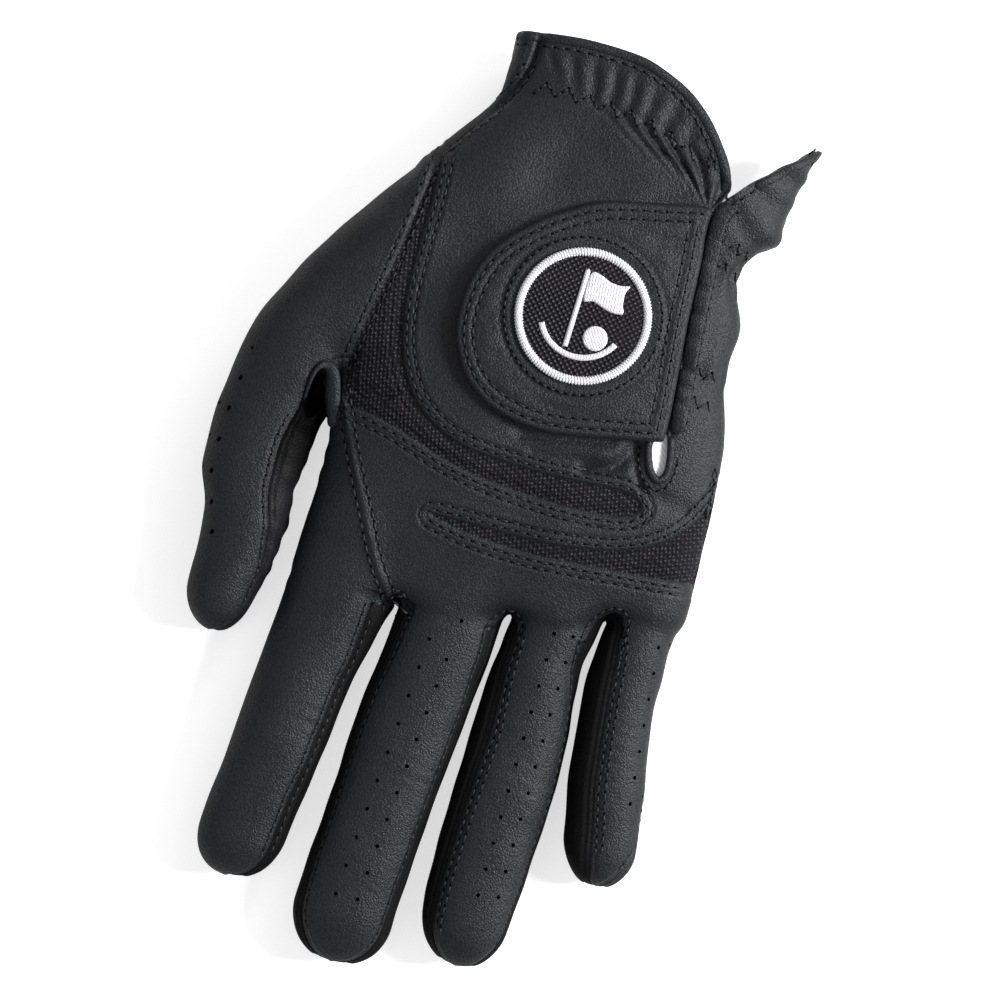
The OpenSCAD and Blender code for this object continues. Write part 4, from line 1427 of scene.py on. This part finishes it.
# rings of one stitch: place along it (share of length), width share, height of the centre
STITCH_RINGS = [(-0.52, 0.12, -0.30), (-0.40, 0.82, -0.02), (-0.15, 1.0, 0.10),
                (0.15, 1.0, 0.10), (0.40, 0.82, -0.02), (0.52, 0.12, -0.30)]
STITCH_SIDES = 6
# rings of the dimple at each stitch's start, near-black as painted shade in the needle hole: radius,
# height
DIMPLE_RINGS = [(0.38, -0.12), (0.38, 0.0), (0.22, 0.07)]


def stitch(group, start, end, normal, lift=0.02):
    """One stitch on a surface with the given normal."""
    THREADS.setdefault(group, []).append((start, end, normal, lift))


def repeat_faces(faces, count, stride, first=0):
    base = first + (np.arange(count) * stride)[:, None, None]
    return (faces[None] + base).reshape(-1, faces.shape[1])


def thread_object(group):
    """All stitches of a group, each with its dimple, as one object."""
    start, end, normal, lift = map(np.array, zip(*THREADS[group]))
    count = len(start)
    length = np.linalg.norm(end - start, axis=1)[:, None]
    along = unit(end - start, 1e-6)
    normal = unit(normal - (normal * along).sum(1)[:, None] * along, 1e-6)
    side = np.cross(along, normal)
    centre = (start + end) / 2 + normal * lift[:, None]
    corners = []
    for share, width, height in STITCH_RINGS:
        for k in range(STITCH_SIDES):
            angle = 2 * math.pi * k / STITCH_SIDES
            corners.append(centre + along * length * share
                           + normal * (height + width * STITCH_RADIUS * math.sin(angle))
                           + side * (width * STITCH_RADIUS * math.cos(angle)))
    bodies = np.stack(corners, 1)
    body_verts = bodies.reshape(-1, 3)
    rings, stride = len(STITCH_RINGS), len(corners)
    quads = repeat_faces(ring_quads(rings, STITCH_SIDES)[:, [0, 3, 2, 1]], count, stride)
    caps = repeat_faces(cap_tris(rings, STITCH_SIDES)[:, [0, 2, 1]], count, stride)
    if points_in(body_verts, quads[0], bodies[0].mean(0)):
        quads, caps = quads[:, ::-1], caps[:, ::-1]

    centre = start - along * 0.3 + normal * 0.03
    corners = [centre - normal * 0.25]
    for radius, height in DIMPLE_RINGS:
        for angle in np.arange(8) * math.pi / 4:
            corners.append(centre + along * (radius * 1.15 * math.cos(angle))
                           + side * (radius * 0.85 * math.sin(angle)) + normal * height)
    corners.append(centre + normal * 0.09)
    dimples = np.stack(corners, 1)
    verts = np.concatenate([body_verts, dimples.reshape(-1, 3)])
    first, stride, last = len(body_verts), len(corners), len(corners) - 1
    fans = np.array([(0, 1 + (k + 1) % 8, 1 + k) for k in range(8)]
                    + [(last, 17 + k, 17 + (k + 1) % 8) for k in range(8)])
    dimple_quads = repeat_faces(1 + ring_quads(3, 8)[:, [0, 3, 2, 1]], count, stride, first)
    dimple_fans = repeat_faces(fans, count, stride, first)
    if points_in(verts, dimple_quads[0], dimples[0].mean(0)):
        dimple_quads, dimple_fans = dimple_quads[:, ::-1], dimple_fans[:, ::-1]

    blocks = [quads, dimple_quads, caps, dimple_fans]
    ob = mesh_object(group, verts, blocks, "thread")
    # the dimples take the near-black needle-hole colour, painted shade
    ob.data.materials.append(MATERIALS["needle_hole"])
    slots = np.repeat([0, 1, 0, 1], [len(block) for block in blocks]).astype(np.int32)
    ob.data.polygons.foreach_set("material_index", slots)
    return ob


def zone(point):
    """The thread group a point belongs to."""
    for name in LIMBS:
        if point[1] < BASE_Y[name]:
            centre, half_width, _ = section_at(LIMBS[name]["table"], point[1])
            if abs(point[0] - centre) < half_width + 0.4:
                return f"stitches_{name}_{'base' if point[1] > SPLIT_Y[name] else 'tip'}"
    if point[2] > 10 and point[0] > 27 and point[1] > 8 and flap_field(point[None])[0] < 0:
        return "stitches_flap"
    return "stitches_hand"


def row(line, group=None, length=2.0, gap=0.8, tree=SKIN_TREE, keep=None, lift=0.02):
    """Stitches along a plan line. Without a group, each goes to its zone."""
    path, normals = on_surface(line, 0.4, tree=tree)
    lengths = arc_length(path)
    for i in range(int(lengths[-1] // (length + gap))):
        begin = i * (length + gap) + gap / 2
        start, end = along_path(path, lengths, [begin, begin + length])
        if abs(start[2] - end[2]) > length * 0.92:  # falls off an edge
            continue
        middle = (start + end) / 2
        if keep is None or keep(middle):
            normal = along_path(normals, lengths, begin + length / 2)
            stitch(group or zone(middle), start, end, normal, lift)


def finger_row(name, seam, offset, start_y, end_y, length=1.75, gap=0.85):
    """Stitches beside a finger seam, offset millimetres round from it."""
    y = np.arange(start_y, end_y, -0.5)
    taper = tip_taper(name, y)
    centre, half_width, half_height = section_at(LIMBS[name]["table"], y)
    half_width = half_width * taper
    degrees = seam_angle(name, seam, y)
    degrees = degrees + np.degrees(offset / ((half_width + half_height * taper) / 2))
    angle = np.radians(degrees)
    points = project(np.c_[centre + 1.02 * half_width * np.cos(angle), y,
                           half_height + 1.02 * half_height * taper * np.sin(angle)], 2)
    hits = [SKIN_TREE.find_nearest(Vector(point)) for point in points]
    path = np.array([hit[0] for hit in hits])
    normals = np.array([hit[1] for hit in hits])
    lengths = arc_length(path)
    for i in range(int(lengths[-1] // (length + gap))):
        begin = i * (length + gap)
        start, end = along_path(path, lengths, [begin, begin + length])
        middle_y = (start[1] + end[1]) / 2
        group = f"stitches_{name}_{'base' if middle_y > SPLIT_Y[name] else 'tip'}"
        if middle_y > BASE_Y[name]:
            group = "stitches_hand"
        stitch(group, start, end, along_path(normals, lengths, begin + length / 2))


def zigzag(line, half_width, pitch, per_leg=1):
    """Zigzag stitching; each leg is made of per_leg stitches."""
    line, left = sideways(line, pitch / 2)
    sign = np.where(np.arange(len(line)) % 2, 1, -1)[:, None]
    corners = line + left * half_width * sign
    for first, second in zip(corners[:-1], corners[1:]):
        for i in range(per_leg):
            start, start_normal = drop(*(first + (second - first) * (i + 0.08) / per_leg))
            end, end_normal = drop(*(first + (second - first) * (i + 0.88) / per_leg))
            if abs(start[2] - end[2]) <= 2.0:
                stitch(zone((start + end) / 2), start, end, start_normal + end_normal, 0.04)


# limb, seam or angle, offset round the limb, first y, last y
FINGER_ROWS = [
    ("index", "right", 1.25, -52, -121), ("index", "right", -1.1, -55, -119),
    ("middle", "right", 1.2, -50, -133), ("middle", "left", -1.2, -50, -133),
    ("ring", "right", 1.25, -46, -125), ("ring", "left", -1.2, -48, -125),
    ("ring", "left", -2.7, -48.5, -124), ("little", "right", 1.25, -44, -98),
    ("little", "left", -1.2, -41.5, -97), ("little", "left", -2.7, -42.5, -96),
    ("thumb", "left", -1.3, -3, -66), ("middle", 210, 1.2, -52, -132.5),
    ("middle", -30, -1.2, -52, -132.5), ("ring", 210, 1.2, -49, -126),
    ("ring", -30, -1.2, -49, -126), ("little", 210, 1.2, -43, -98),
    ("index", -30, -1.2, -52, -120), ("thumb", "right", 1.2, -14, -64),
]


def in_outline(point, outline):
    return inside(point[None, :2], outline)[0]


def beside_side_mesh(point):
    seam_x = np.interp(point[1], THUMB_SEAM[::-1, 1], THUMB_SEAM[::-1, 0])
    return point[0] > seam_x + 1.0 and point[1] < 56.5 and not in_outline(point, KNUCKLE_MESH)


def beside_knuckle_mesh(point):
    return point[0] < 46.5 and not in_outline(point, SIDE_MESH)


for entry in FINGER_ROWS:
    finger_row(*entry)
for offset in (1.55, -1.55):
    row(offset_line(WEB, offset), keep=lambda point: point[1] < -3.5)
for offset in (1.3, -1.3):
    row(offset_line(THUMB_SEAM, offset), keep=lambda point: point[1] < 84)
for outline, keep in ((SIDE_MESH, beside_side_mesh), (KNUCKLE_MESH, beside_knuckle_mesh)):
    for offset in (1.35, 3.0):
        for piece in outline_rows(outline, offset):
            row(piece, keep=keep)
for outline in FORKS:
    row(offset_line(spline(outline, 4), 1.1), length=1.5,
        keep=lambda point: point[1] > -50.2 and point[2] > 14)
row(offset_line(CUFF, -3.2)[3:-4], "stitches_hand")
row(offset_line(WING, -1.9))
row(offset_line(SLIT, 4.0), "stitches_flap")
ROUND_DROP = spline([(26.6, 9.8), (26.0, 5.2), (27.4, -0.6), (30.5, -4.4), (34.2, -4.8),
                     (36.0, -1.0), (36.0, 4.5)])
row(resample(ROUND_DROP, 0.8), "stitches_hand", length=1.4, gap=0.7)

zigzag(ELASTIC[2:-6], half_width=1.35, pitch=5.4, per_leg=2)
# short zigzags across the wing: points, half width, pitch
for points, half_width, pitch in (
        ([(31.8, 51.4), (34.6, 50.2), (37.4, 49.0)], 0.9, 2.8),
        ([(33.4, 56.8), (38.4, 54.6)], 0.9, 2.8),
        ([(33.0, 24.8), (36.2, 24.9), (39.4, 24.6)], 1.0, 3.0),
        ([(33.8, 17.9), (37.0, 17.8), (40.4, 17.3)], 1.0, 3.0)):
    zigzag(spline(points), half_width, pitch)

# ---------------------------------------------------------------------------
# 12. Closure: pads, tab and badge
# ---------------------------------------------------------------------------


def plan_grid(outline, step):
    """Triangles filling an outline: plan points, depth inside the edge, triangles."""
    low, high = outline.min(0) - step, outline.max(0) + step
    columns = int((high[0] - low[0]) / step) + 1
    rows = int((high[1] - low[1]) / (step * 0.866)) + 1
    i, j = np.meshgrid(np.arange(columns), np.arange(rows), indexing="ij")
    plan = np.stack([low[0] + (i + 0.5 * (j % 2)) * step, low[1] + j * step * 0.866], -1)
    plan = plan.reshape(-1, 2)
    index = i * rows + j
    # corners of each cell, anticlockwise from its low corner
    corners = (index[:-1, :-1], index[1:, :-1], index[1:, 1:], index[:-1, 1:])
    even = (j[:-1, :-1] % 2 == 0)[..., None]

    def pick(if_even, if_odd):
        return np.where(even, np.stack([corners[k] for k in if_even], -1),
                        np.stack([corners[k] for k in if_odd], -1)).reshape(-1, 3)
    tris = np.concatenate([pick((0, 1, 3), (0, 1, 2)), pick((1, 2, 3), (0, 2, 3))])
    edge = polygon_sdf(plan, outline)
    attrs, tris = compact(dict(plan=plan, edge=edge), tris[(edge[tris] < 2 * step).any(1)])
    attrs, tris = clip(attrs, tris, attrs["edge"])
    return attrs["plan"], -attrs["edge"], tris


def sheet(name, outline, step, top, bottom, material):
    """A closed sheet over a plan outline. Returns the object, its top vertices and triangles.

    top and bottom are heights above the plain surface: numbers, or functions of the plan
    points and their depth inside the edge."""
    plan, depth, tris = plan_grid(outline, step)
    base = np.c_[plan, base_z(plan)]
    reach = 0.25
    slope_x = (base_z(plan + [reach, 0]) - base_z(plan - [reach, 0])) / (2 * reach)
    slope_y = (base_z(plan + [0, reach]) - base_z(plan - [0, reach])) / (2 * reach)
    normals = unit(np.c_[-slope_x, -slope_y, np.ones(len(plan))])

    def raised(level):
        height = level(plan, depth) if callable(level) else np.full(len(plan), level)
        return base + normals * height[:, None]
    upper = raised(top)
    upper_normals = vertex_normals(upper, tris)
    if upper_normals[:, 2].mean() < 0:
        tris = tris[:, ::-1]
        upper_normals = -upper_normals
    ob = closed_sheet(name, upper, raised(bottom), tris, upper_normals, -normals, material)
    return ob, upper, tris


def pad_top(plan, depth):
    return 0.55 + 0.25 * np.minimum(1, depth / 0.9) + 0.08 * plan_noise(plan, 1.7, 31)


place(sheet("loop_pile_pad", grown(TAB, -5.0), 0.75, pad_top, 0.1, "pile")[0],
      "hook_and_loop", with_hand, "loop_pad")
place(sheet("hook_tape", grown(TAB, -6.5), 0.9, 1.45,
            lambda plan, depth: 1.0 + 0.07 * plan_noise(plan, 1.5, 33), "hook")[0],
      "hook_and_loop", to_tab, "hook_pad")
place(sheet("tab_lining_cloth", grown(TAB, -1.0), 1.0, 1.72,
            lambda plan, depth: 1.48 + 0.02 * plan_noise(plan, 8, 34), "lining")[0],
      "lining_fabric", to_tab, "tab_lining")

TAB_BOTTOM = 1.74
TAB_ROWS = (1.95, 4.1)  # stitch rows, in from the edge


def tab_top(plan, depth):
    """Soft rounded edge, sunk stitch rows, a ring round the badge, slack wrinkles outside it."""
    edge = np.clip(1 - depth / 1.5, 0, 1)
    height = 1.75 + 1.35 * np.sqrt(1 - edge ** 2 + 1e-9)
    radius = np.hypot(*(plan - BADGE).T)
    for inset in TAB_ROWS:
        height -= 0.24 * bell(depth - inset, 0.5)
    height += 0.16 * bell(depth - 3.0, 0.7)
    height += -0.3 * bell(radius - 19.6, 0.7) + 0.25 * bell(radius - 18.2, 0.9)
    slack = rise(radius, 20.5, 24.5) * rise(depth, 3.5, 7.5)
    height += slack * (0.20 * plan_noise(plan, 9.5, 41, stretch=(2.0, 0.9, 1))
                       + 0.10 * plan_noise(plan, 4.2, 42, stretch=(1.8, 0.8, 1)))
    return height + 0.05 * plan_noise(plan, 14, 43)


tab, tab_verts, tab_tris = sheet("tab_leather", TAB, 0.62, tab_top,
                                 TAB_BOTTOM, "leather")
place(tab, "glove_leather", to_tab, "tab_outer")
TAB_TREE = BVHTree.FromPolygons(tab_verts.tolist(), tab_tris.tolist())


def circle(radius, angles):
    return radius * np.c_[np.cos(angles), np.sin(angles)]


for inset in TAB_ROWS:
    for piece in outline_rows(TAB, -inset):
        row(piece, "stitches_tab", tree=TAB_TREE, lift=0.0)
row(BADGE + circle(18.9, np.linspace(0, 2 * math.pi, 240)), "stitches_tab",
    length=1.4, gap=0.7, tree=TAB_TREE)


def weave_top(plan, depth):
    x, y = (plan * (2 * math.pi / 1.5)).T
    return (3.72 + 0.17 * np.cos(x) * np.cos(y) + 0.05 * np.cos(x * 2)
            - 0.3 * np.exp(-depth / 0.8) + 0.02 * plan_noise(plan, 2.4, 51))


DISC = BADGE + circle(14.95, np.linspace(0, 2 * math.pi, 120, endpoint=False))
place(sheet("badge_woven_disc", DISC, 0.27, weave_top, 3.18,
            "badge_cloth")[0], "badge_cloth", with_tab, "badge_ground")


def badge_rim(segments=816, sides=14, threads=136):
    """Ring of thread round the badge, with slanting ribs."""
    turn = np.linspace(0, 2 * math.pi, segments, endpoint=False)
    plan = BADGE + circle(15.42, turn)
    path = np.c_[plan, base_z(plan) + 3.72]
    along = unit(np.roll(path, -1, 0) - np.roll(path, 1, 0))
    outward = unit(np.cross(along, [0, 0, 1.0]))
    upward = np.cross(outward, along)
    angle = 2 * math.pi * np.arange(sides) / sides
    rib = 1 + 0.13 * np.cos(turn[:, None] * threads + angle[None])
    verts = (path[:, None] + outward[:, None] * (0.98 * rib * np.cos(angle))[..., None]
             + upward[:, None] * (0.72 * rib * np.sin(angle))[..., None]).reshape(-1, 3)
    quads = ring_quads(segments, sides, closed_loop=True)
    if points_in(verts, quads[0], path[0]):
        quads = quads[:, ::-1]
    return mesh_object("badge_overlocked_rim", verts, [quads], "white")


place(badge_rim(), "badge_thread", with_tab, "badge_rim")


def motif(name, outline, degrees, *nodes):
    """Raised embroidery; outline is about the badge centre, threads repeat along degrees."""
    heading = np.array([math.cos(math.radians(degrees)), math.sin(math.radians(degrees))])
    base = 3.86

    def top(plan, depth):
        edge = np.clip(1 - depth / 0.7, 0, 1)
        threads = np.cos(plan @ heading * 2 * math.pi / 0.66)
        return (base + 0.42 * np.sqrt(1 - edge ** 2 + 1e-9)
                + 0.085 * threads * (1 - 0.6 * edge))
    ob = sheet(name, BADGE + 0.95 * outline, 0.2, top, base - 0.15,
               "white")[0]
    place(ob, "badge_thread", with_tab, *nodes)


FLAG = spline([(-1.2, 10.6), (1.4, 10.9), (4.0, 9.9), (6.6, 9.7), (9.0, 10.2), (8.3, 8.2),
               (8.6, 5.2), (9.2, 3.2), (6.4, 2.7), (3.6, 3.3), (1.2, 4.0), (-1.2, 3.8)], 5, True)
POLE = np.array([(-2.9, -8.6), (-1.6, -8.6), (-1.5, 10.9), (-2.1, 11.6), (-2.8, 10.9)])
BALL = np.array([4.4, -4.6]) + circle(3.1, np.linspace(0, 2 * math.pi, 48, endpoint=False))
TURF_ARC = np.radians(np.linspace(206, 334, 40))
TURF = np.concatenate([circle(11.4, TURF_ARC), circle(9.9, TURF_ARC[::-1])]) * [1, 0.98]
motif("badge_flag", FLAG, 8, "badge_emblem")
motif("badge_flag_pole", POLE, 90)
motif("badge_ball", BALL, 35)
motif("badge_turf_line", TURF, 0)

# ---------------------------------------------------------------------------
# 13. Piping, hems, tapes and label
# ---------------------------------------------------------------------------


def tube(name, path, normals, half_width, half_height, material, sides=12, nosed=True):
    """A swept bar with flat ends, narrowed to a nose at both if nosed."""
    count = len(path)
    along = unit(np.gradient(path, axis=0))
    normals = unit(normals - (normals * along).sum(1)[:, None] * along)
    across = np.cross(along, normals)
    half_width = np.broadcast_to(half_width, count).astype(float)
    half_height = np.broadcast_to(half_height, count).astype(float)
    if nosed:
        lengths = arc_length(path)
        to_end = np.clip(np.minimum(lengths, lengths[-1] - lengths) / half_width.mean(), 0, 1)
        nose = np.sqrt(np.clip(1 - (1 - to_end) ** 2, 0.03, 1))
        half_width, half_height = half_width * nose, half_height * nose
    angle = 2 * math.pi * np.arange(sides) / sides
    verts = (path[:, None] + across[:, None] * (half_width[:, None] * np.cos(angle))[..., None]
             + normals[:, None] * (half_height[:, None] * np.sin(angle))[..., None])
    verts = verts.reshape(-1, 3)
    quads, caps = ring_quads(count, sides), cap_tris(count, sides)
    middle = quads[len(quads) // 2]
    if points_in(verts, middle, path[min(count - 1, middle[0] // sides)]):
        quads, caps = quads[:, ::-1], caps[:, ::-1]
    return mesh_object(name, verts, [quads, caps], material)


place(tube("slit_piping", *on_surface(offset_line(SLIT[SLIT[:, 1] > 8.6], 2.05), 0.7, 0.2),
           half_width=1.95, half_height=0.5, material="leather", sides=16),
      "trim_leather", to_slit_edge, "flap_binding")
place(tube("slit_facing", *on_surface(offset_line(SLIT, -1.6), 0.8, -1.35),
           half_width=1.5, half_height=0.3, material="binding", sides=10),
      "trim_leather", with_hand, "slit_binding")


def drop_rim():
    """Rolled rim of the drop-shaped opening, open where the slit enters."""
    line = closed(grown(DROP, 0.75), 0.35)
    line = line[line[:, 1] < 8.4]
    gap = np.argmax(np.linalg.norm(line - np.roll(line, 1, 0), axis=1))
    path, normals = on_surface(np.roll(line, -int(gap), 0), 0.35, 0.1)
    normals[:] = (0.12, 0, 1)
    soften(path[:, 2], 6)
    return tube("drop_opening_rim", path, normals, half_width=0.95, half_height=0.85,
                material="leather")


place(drop_rim(), "trim_leather", with_hand)
# pale cloth that shows in the opening
place(sheet("opening_liner", grown(DROP, 1.3), 0.5, -1.15, -1.45, "white_cloth")[0],
      "lining_fabric", with_hand)
place(tube("cuff_hem", *on_surface(offset_line(CUFF, -1.2)[2:-2], 0.7, -0.35),
           half_width=1.25, half_height=0.78, material="leather"),
      "glove_leather", with_hand, "cuff_binding")
PALM_HEM = spline([(-28, 87.6), (-12, 82.4), (4, 73.4), (16, 66.0), (27, 62.8), (34.5, 68.2)])
place(tube("palm_hem_tape", *on_surface(PALM_HEM, 0.8, -1.35, below=True),
           half_width=3.0, half_height=0.35, material="elastic"),
      "elastic_tape", with_hand, "palm_binding")
for name, y, nodes in (("palm_elastic_low", 44.5, ["palm_elastic"]),
                       ("palm_elastic_high", 54.5, [])):
    place(tube(name, *on_surface([(-20, y), (22, y)], 1.0, -1.4, below=True),
               half_width=3.3, half_height=0.35, material="elastic"),
          "elastic_tape", with_hand, *nodes)


def back_elastic():
    """Tape under the gathers, evened out and sunk below the leather."""
    line = spline([(-22, 78), (-6, 77.2), (9, 74.6), (19, 69.5)])
    path, normals = on_surface(line, 0.9, -1.4)
    soften(path[:, 2], 40)
    path[:, 2] -= 2.1
    return tube("back_elastic_tape", path, normals, half_width=3.4, half_height=0.35,
                material="elastic")


place(back_elastic(), "elastic_tape", with_hand, "dorsal_elastic")
place(tube("care_label", *on_surface([(-5, 76.5), (9, 71.8)], 0.8, -1.9, below=True),
           half_width=4.0, half_height=0.16, material="satin", nosed=False),
      "label_satin", with_hand, "size_label")
WING_HEM = offset_line(WING[WING[:, 0] < 45.8], -1.3)[9:]
place(tube("ulnar_cuff_hem", *on_surface(WING_HEM, 0.7, -0.35),
           half_width=1.2, half_height=0.75, material="leather"),
      "glove_leather", to_flap, "ulnar_panel")

ROLL = spline([(-54.2, -9.0), (-54.0, -5.0), (-53.5, -1.6), (-52.3, 0.3), (-50.5, 0.4),
               (-49.3, -1.1), (-48.5, -3.4), (-47.7, -6.4), (-46.5, -9.6), (-45.4, -13.4)])
# half width of the roll: x, then half width
ROLL_WIDTH = ([-54.2, -53.9, -53.0, -52.0, -50.5, -49.3, -48.3, -47.0, -45.4],
              [0.45, 0.55, 0.75, 1.0, 1.4, 1.8, 2.0, 2.0, 1.5])


def thumb_roll():
    """Rolled leather edge over the pocket between thumb and hand."""
    width = np.interp(ROLL[:, 0], *ROLL_WIDTH)
    height = np.full(len(ROLL), 22.0)
    for _ in range(30):
        height = height - np.clip(stuffed_sdf(np.c_[ROLL, height]), -1, 1) * 0.8
    soften(height, 10)
    share = np.linspace(0, 1, len(ROLL))
    # past 0.4 of the way, keep above a straight run down to z 15.6
    run = np.interp(share, [0.4, 1.0], [np.interp(0.4, share, height), 15.6])
    height = np.where(share > 0.4, np.maximum(height, run), height)
    soften(height, 10)
    # lift the middle, tuck in both ends
    path = np.c_[ROLL, height + 0.2 + 0.45 * rise(share, 0.35, 0.55)
                 - 1.2 * rise(share, 0.14, 0) - 0.9 * rise(share, 0.8, 1.0)]
    normals = gradient(path + [0, 0, 0.5], stuffed_sdf)
    normals = np.where((share > 0.4)[:, None], np.array([-0.3, 0.0, 1.0]), normals + [0, 0, 0.4])
    soften(normals, 12)
    return tube("thumb_crotch_roll", path, normals, half_width=width,
                half_height=0.55 + 0.3 * width, material="leather", sides=16)


place(thumb_roll(), "glove_leather", with_hand, "thumb_quirk")

THREAD_MOTION = {"stitches_hand": with_hand, "stitches_flap": to_flap, "stitches_tab": to_tab}
for group in sorted(THREADS):
    motion = THREAD_MOTION.get(group) or with_limb(*group.split("_")[1:])
    place(thread_object(group), "trim_leather", motion)

# ---------------------------------------------------------------------------
# 14. Floor, light, camera (metres)
# ---------------------------------------------------------------------------


def floor_material():
    """White floor that glows only as the camera sees it, so it lends no light."""
    shader = Shader("floor_white")
    mottle = shader.node("TexNoise", {"Scale": 3.0}).outputs[0]
    seen = shader.node("LightPath").outputs["Is Camera Ray"]
    return shader.finish(
        Emission_Color=(1, 1, 1, 1), Emission_Strength=shader.times(seen, 0.62),
        Base_Color=shader.ramp(mottle, (0.3, (0.72, 0.72, 0.72)), (0.7, (0.75, 0.75, 0.75))),
        Roughness=0.9, Specular_IOR_Level=0.1)


def area_light(name, location, target, size, power):
    light = bpy.data.lights.new(name, "AREA")
    light.shape = "RECTANGLE"
    light.size, light.size_y = size
    light.energy = power
    ob = bpy.data.objects.new(name, light)
    bpy.context.scene.collection.objects.link(ob)
    ob.location = location
    heading = Vector(target) - Vector(location)
    ob.rotation_euler = heading.to_track_quat("-Z", "Y").to_euler()


bpy.ops.mesh.primitive_plane_add(size=6, location=(0, 0, -0.0006))
floor = bpy.context.object
floor.name = "floor"
floor.data.materials.append(floor_material())

world = bpy.data.worlds.new("studio")
bpy.context.scene.world = world
world.use_nodes = True
background = world.node_tree.nodes["Background"]
background.inputs["Color"].default_value = (1, 1, 1, 1)
background.inputs["Strength"].default_value = 0.36

area_light("key", (0.92, 0.30, 0.72), target=(0, 0, 0), size=(0.34, 0.34), power=25)
area_light("rim", (0.25, 0.95, 0.55), target=(0, 0.02, 0), size=(0.5, 0.3), power=3.5)
area_light("fill", (-0.55, -0.5, 1.3), target=(0, 0, 0), size=(0.9, 0.9), power=2.5)

lens = bpy.data.cameras.new("camera")
lens.lens = 180
lens.sensor_width = 36
lens.clip_end = 20
camera = bpy.data.objects.new("camera", lens)
bpy.context.scene.collection.objects.link(camera)
camera.location = (-0.0020, -0.0182, 1.22)
camera.rotation_euler = (0, 0, math.radians(17))
bpy.context.scene.camera = camera
bpy.context.scene.view_settings.view_transform = "Standard"
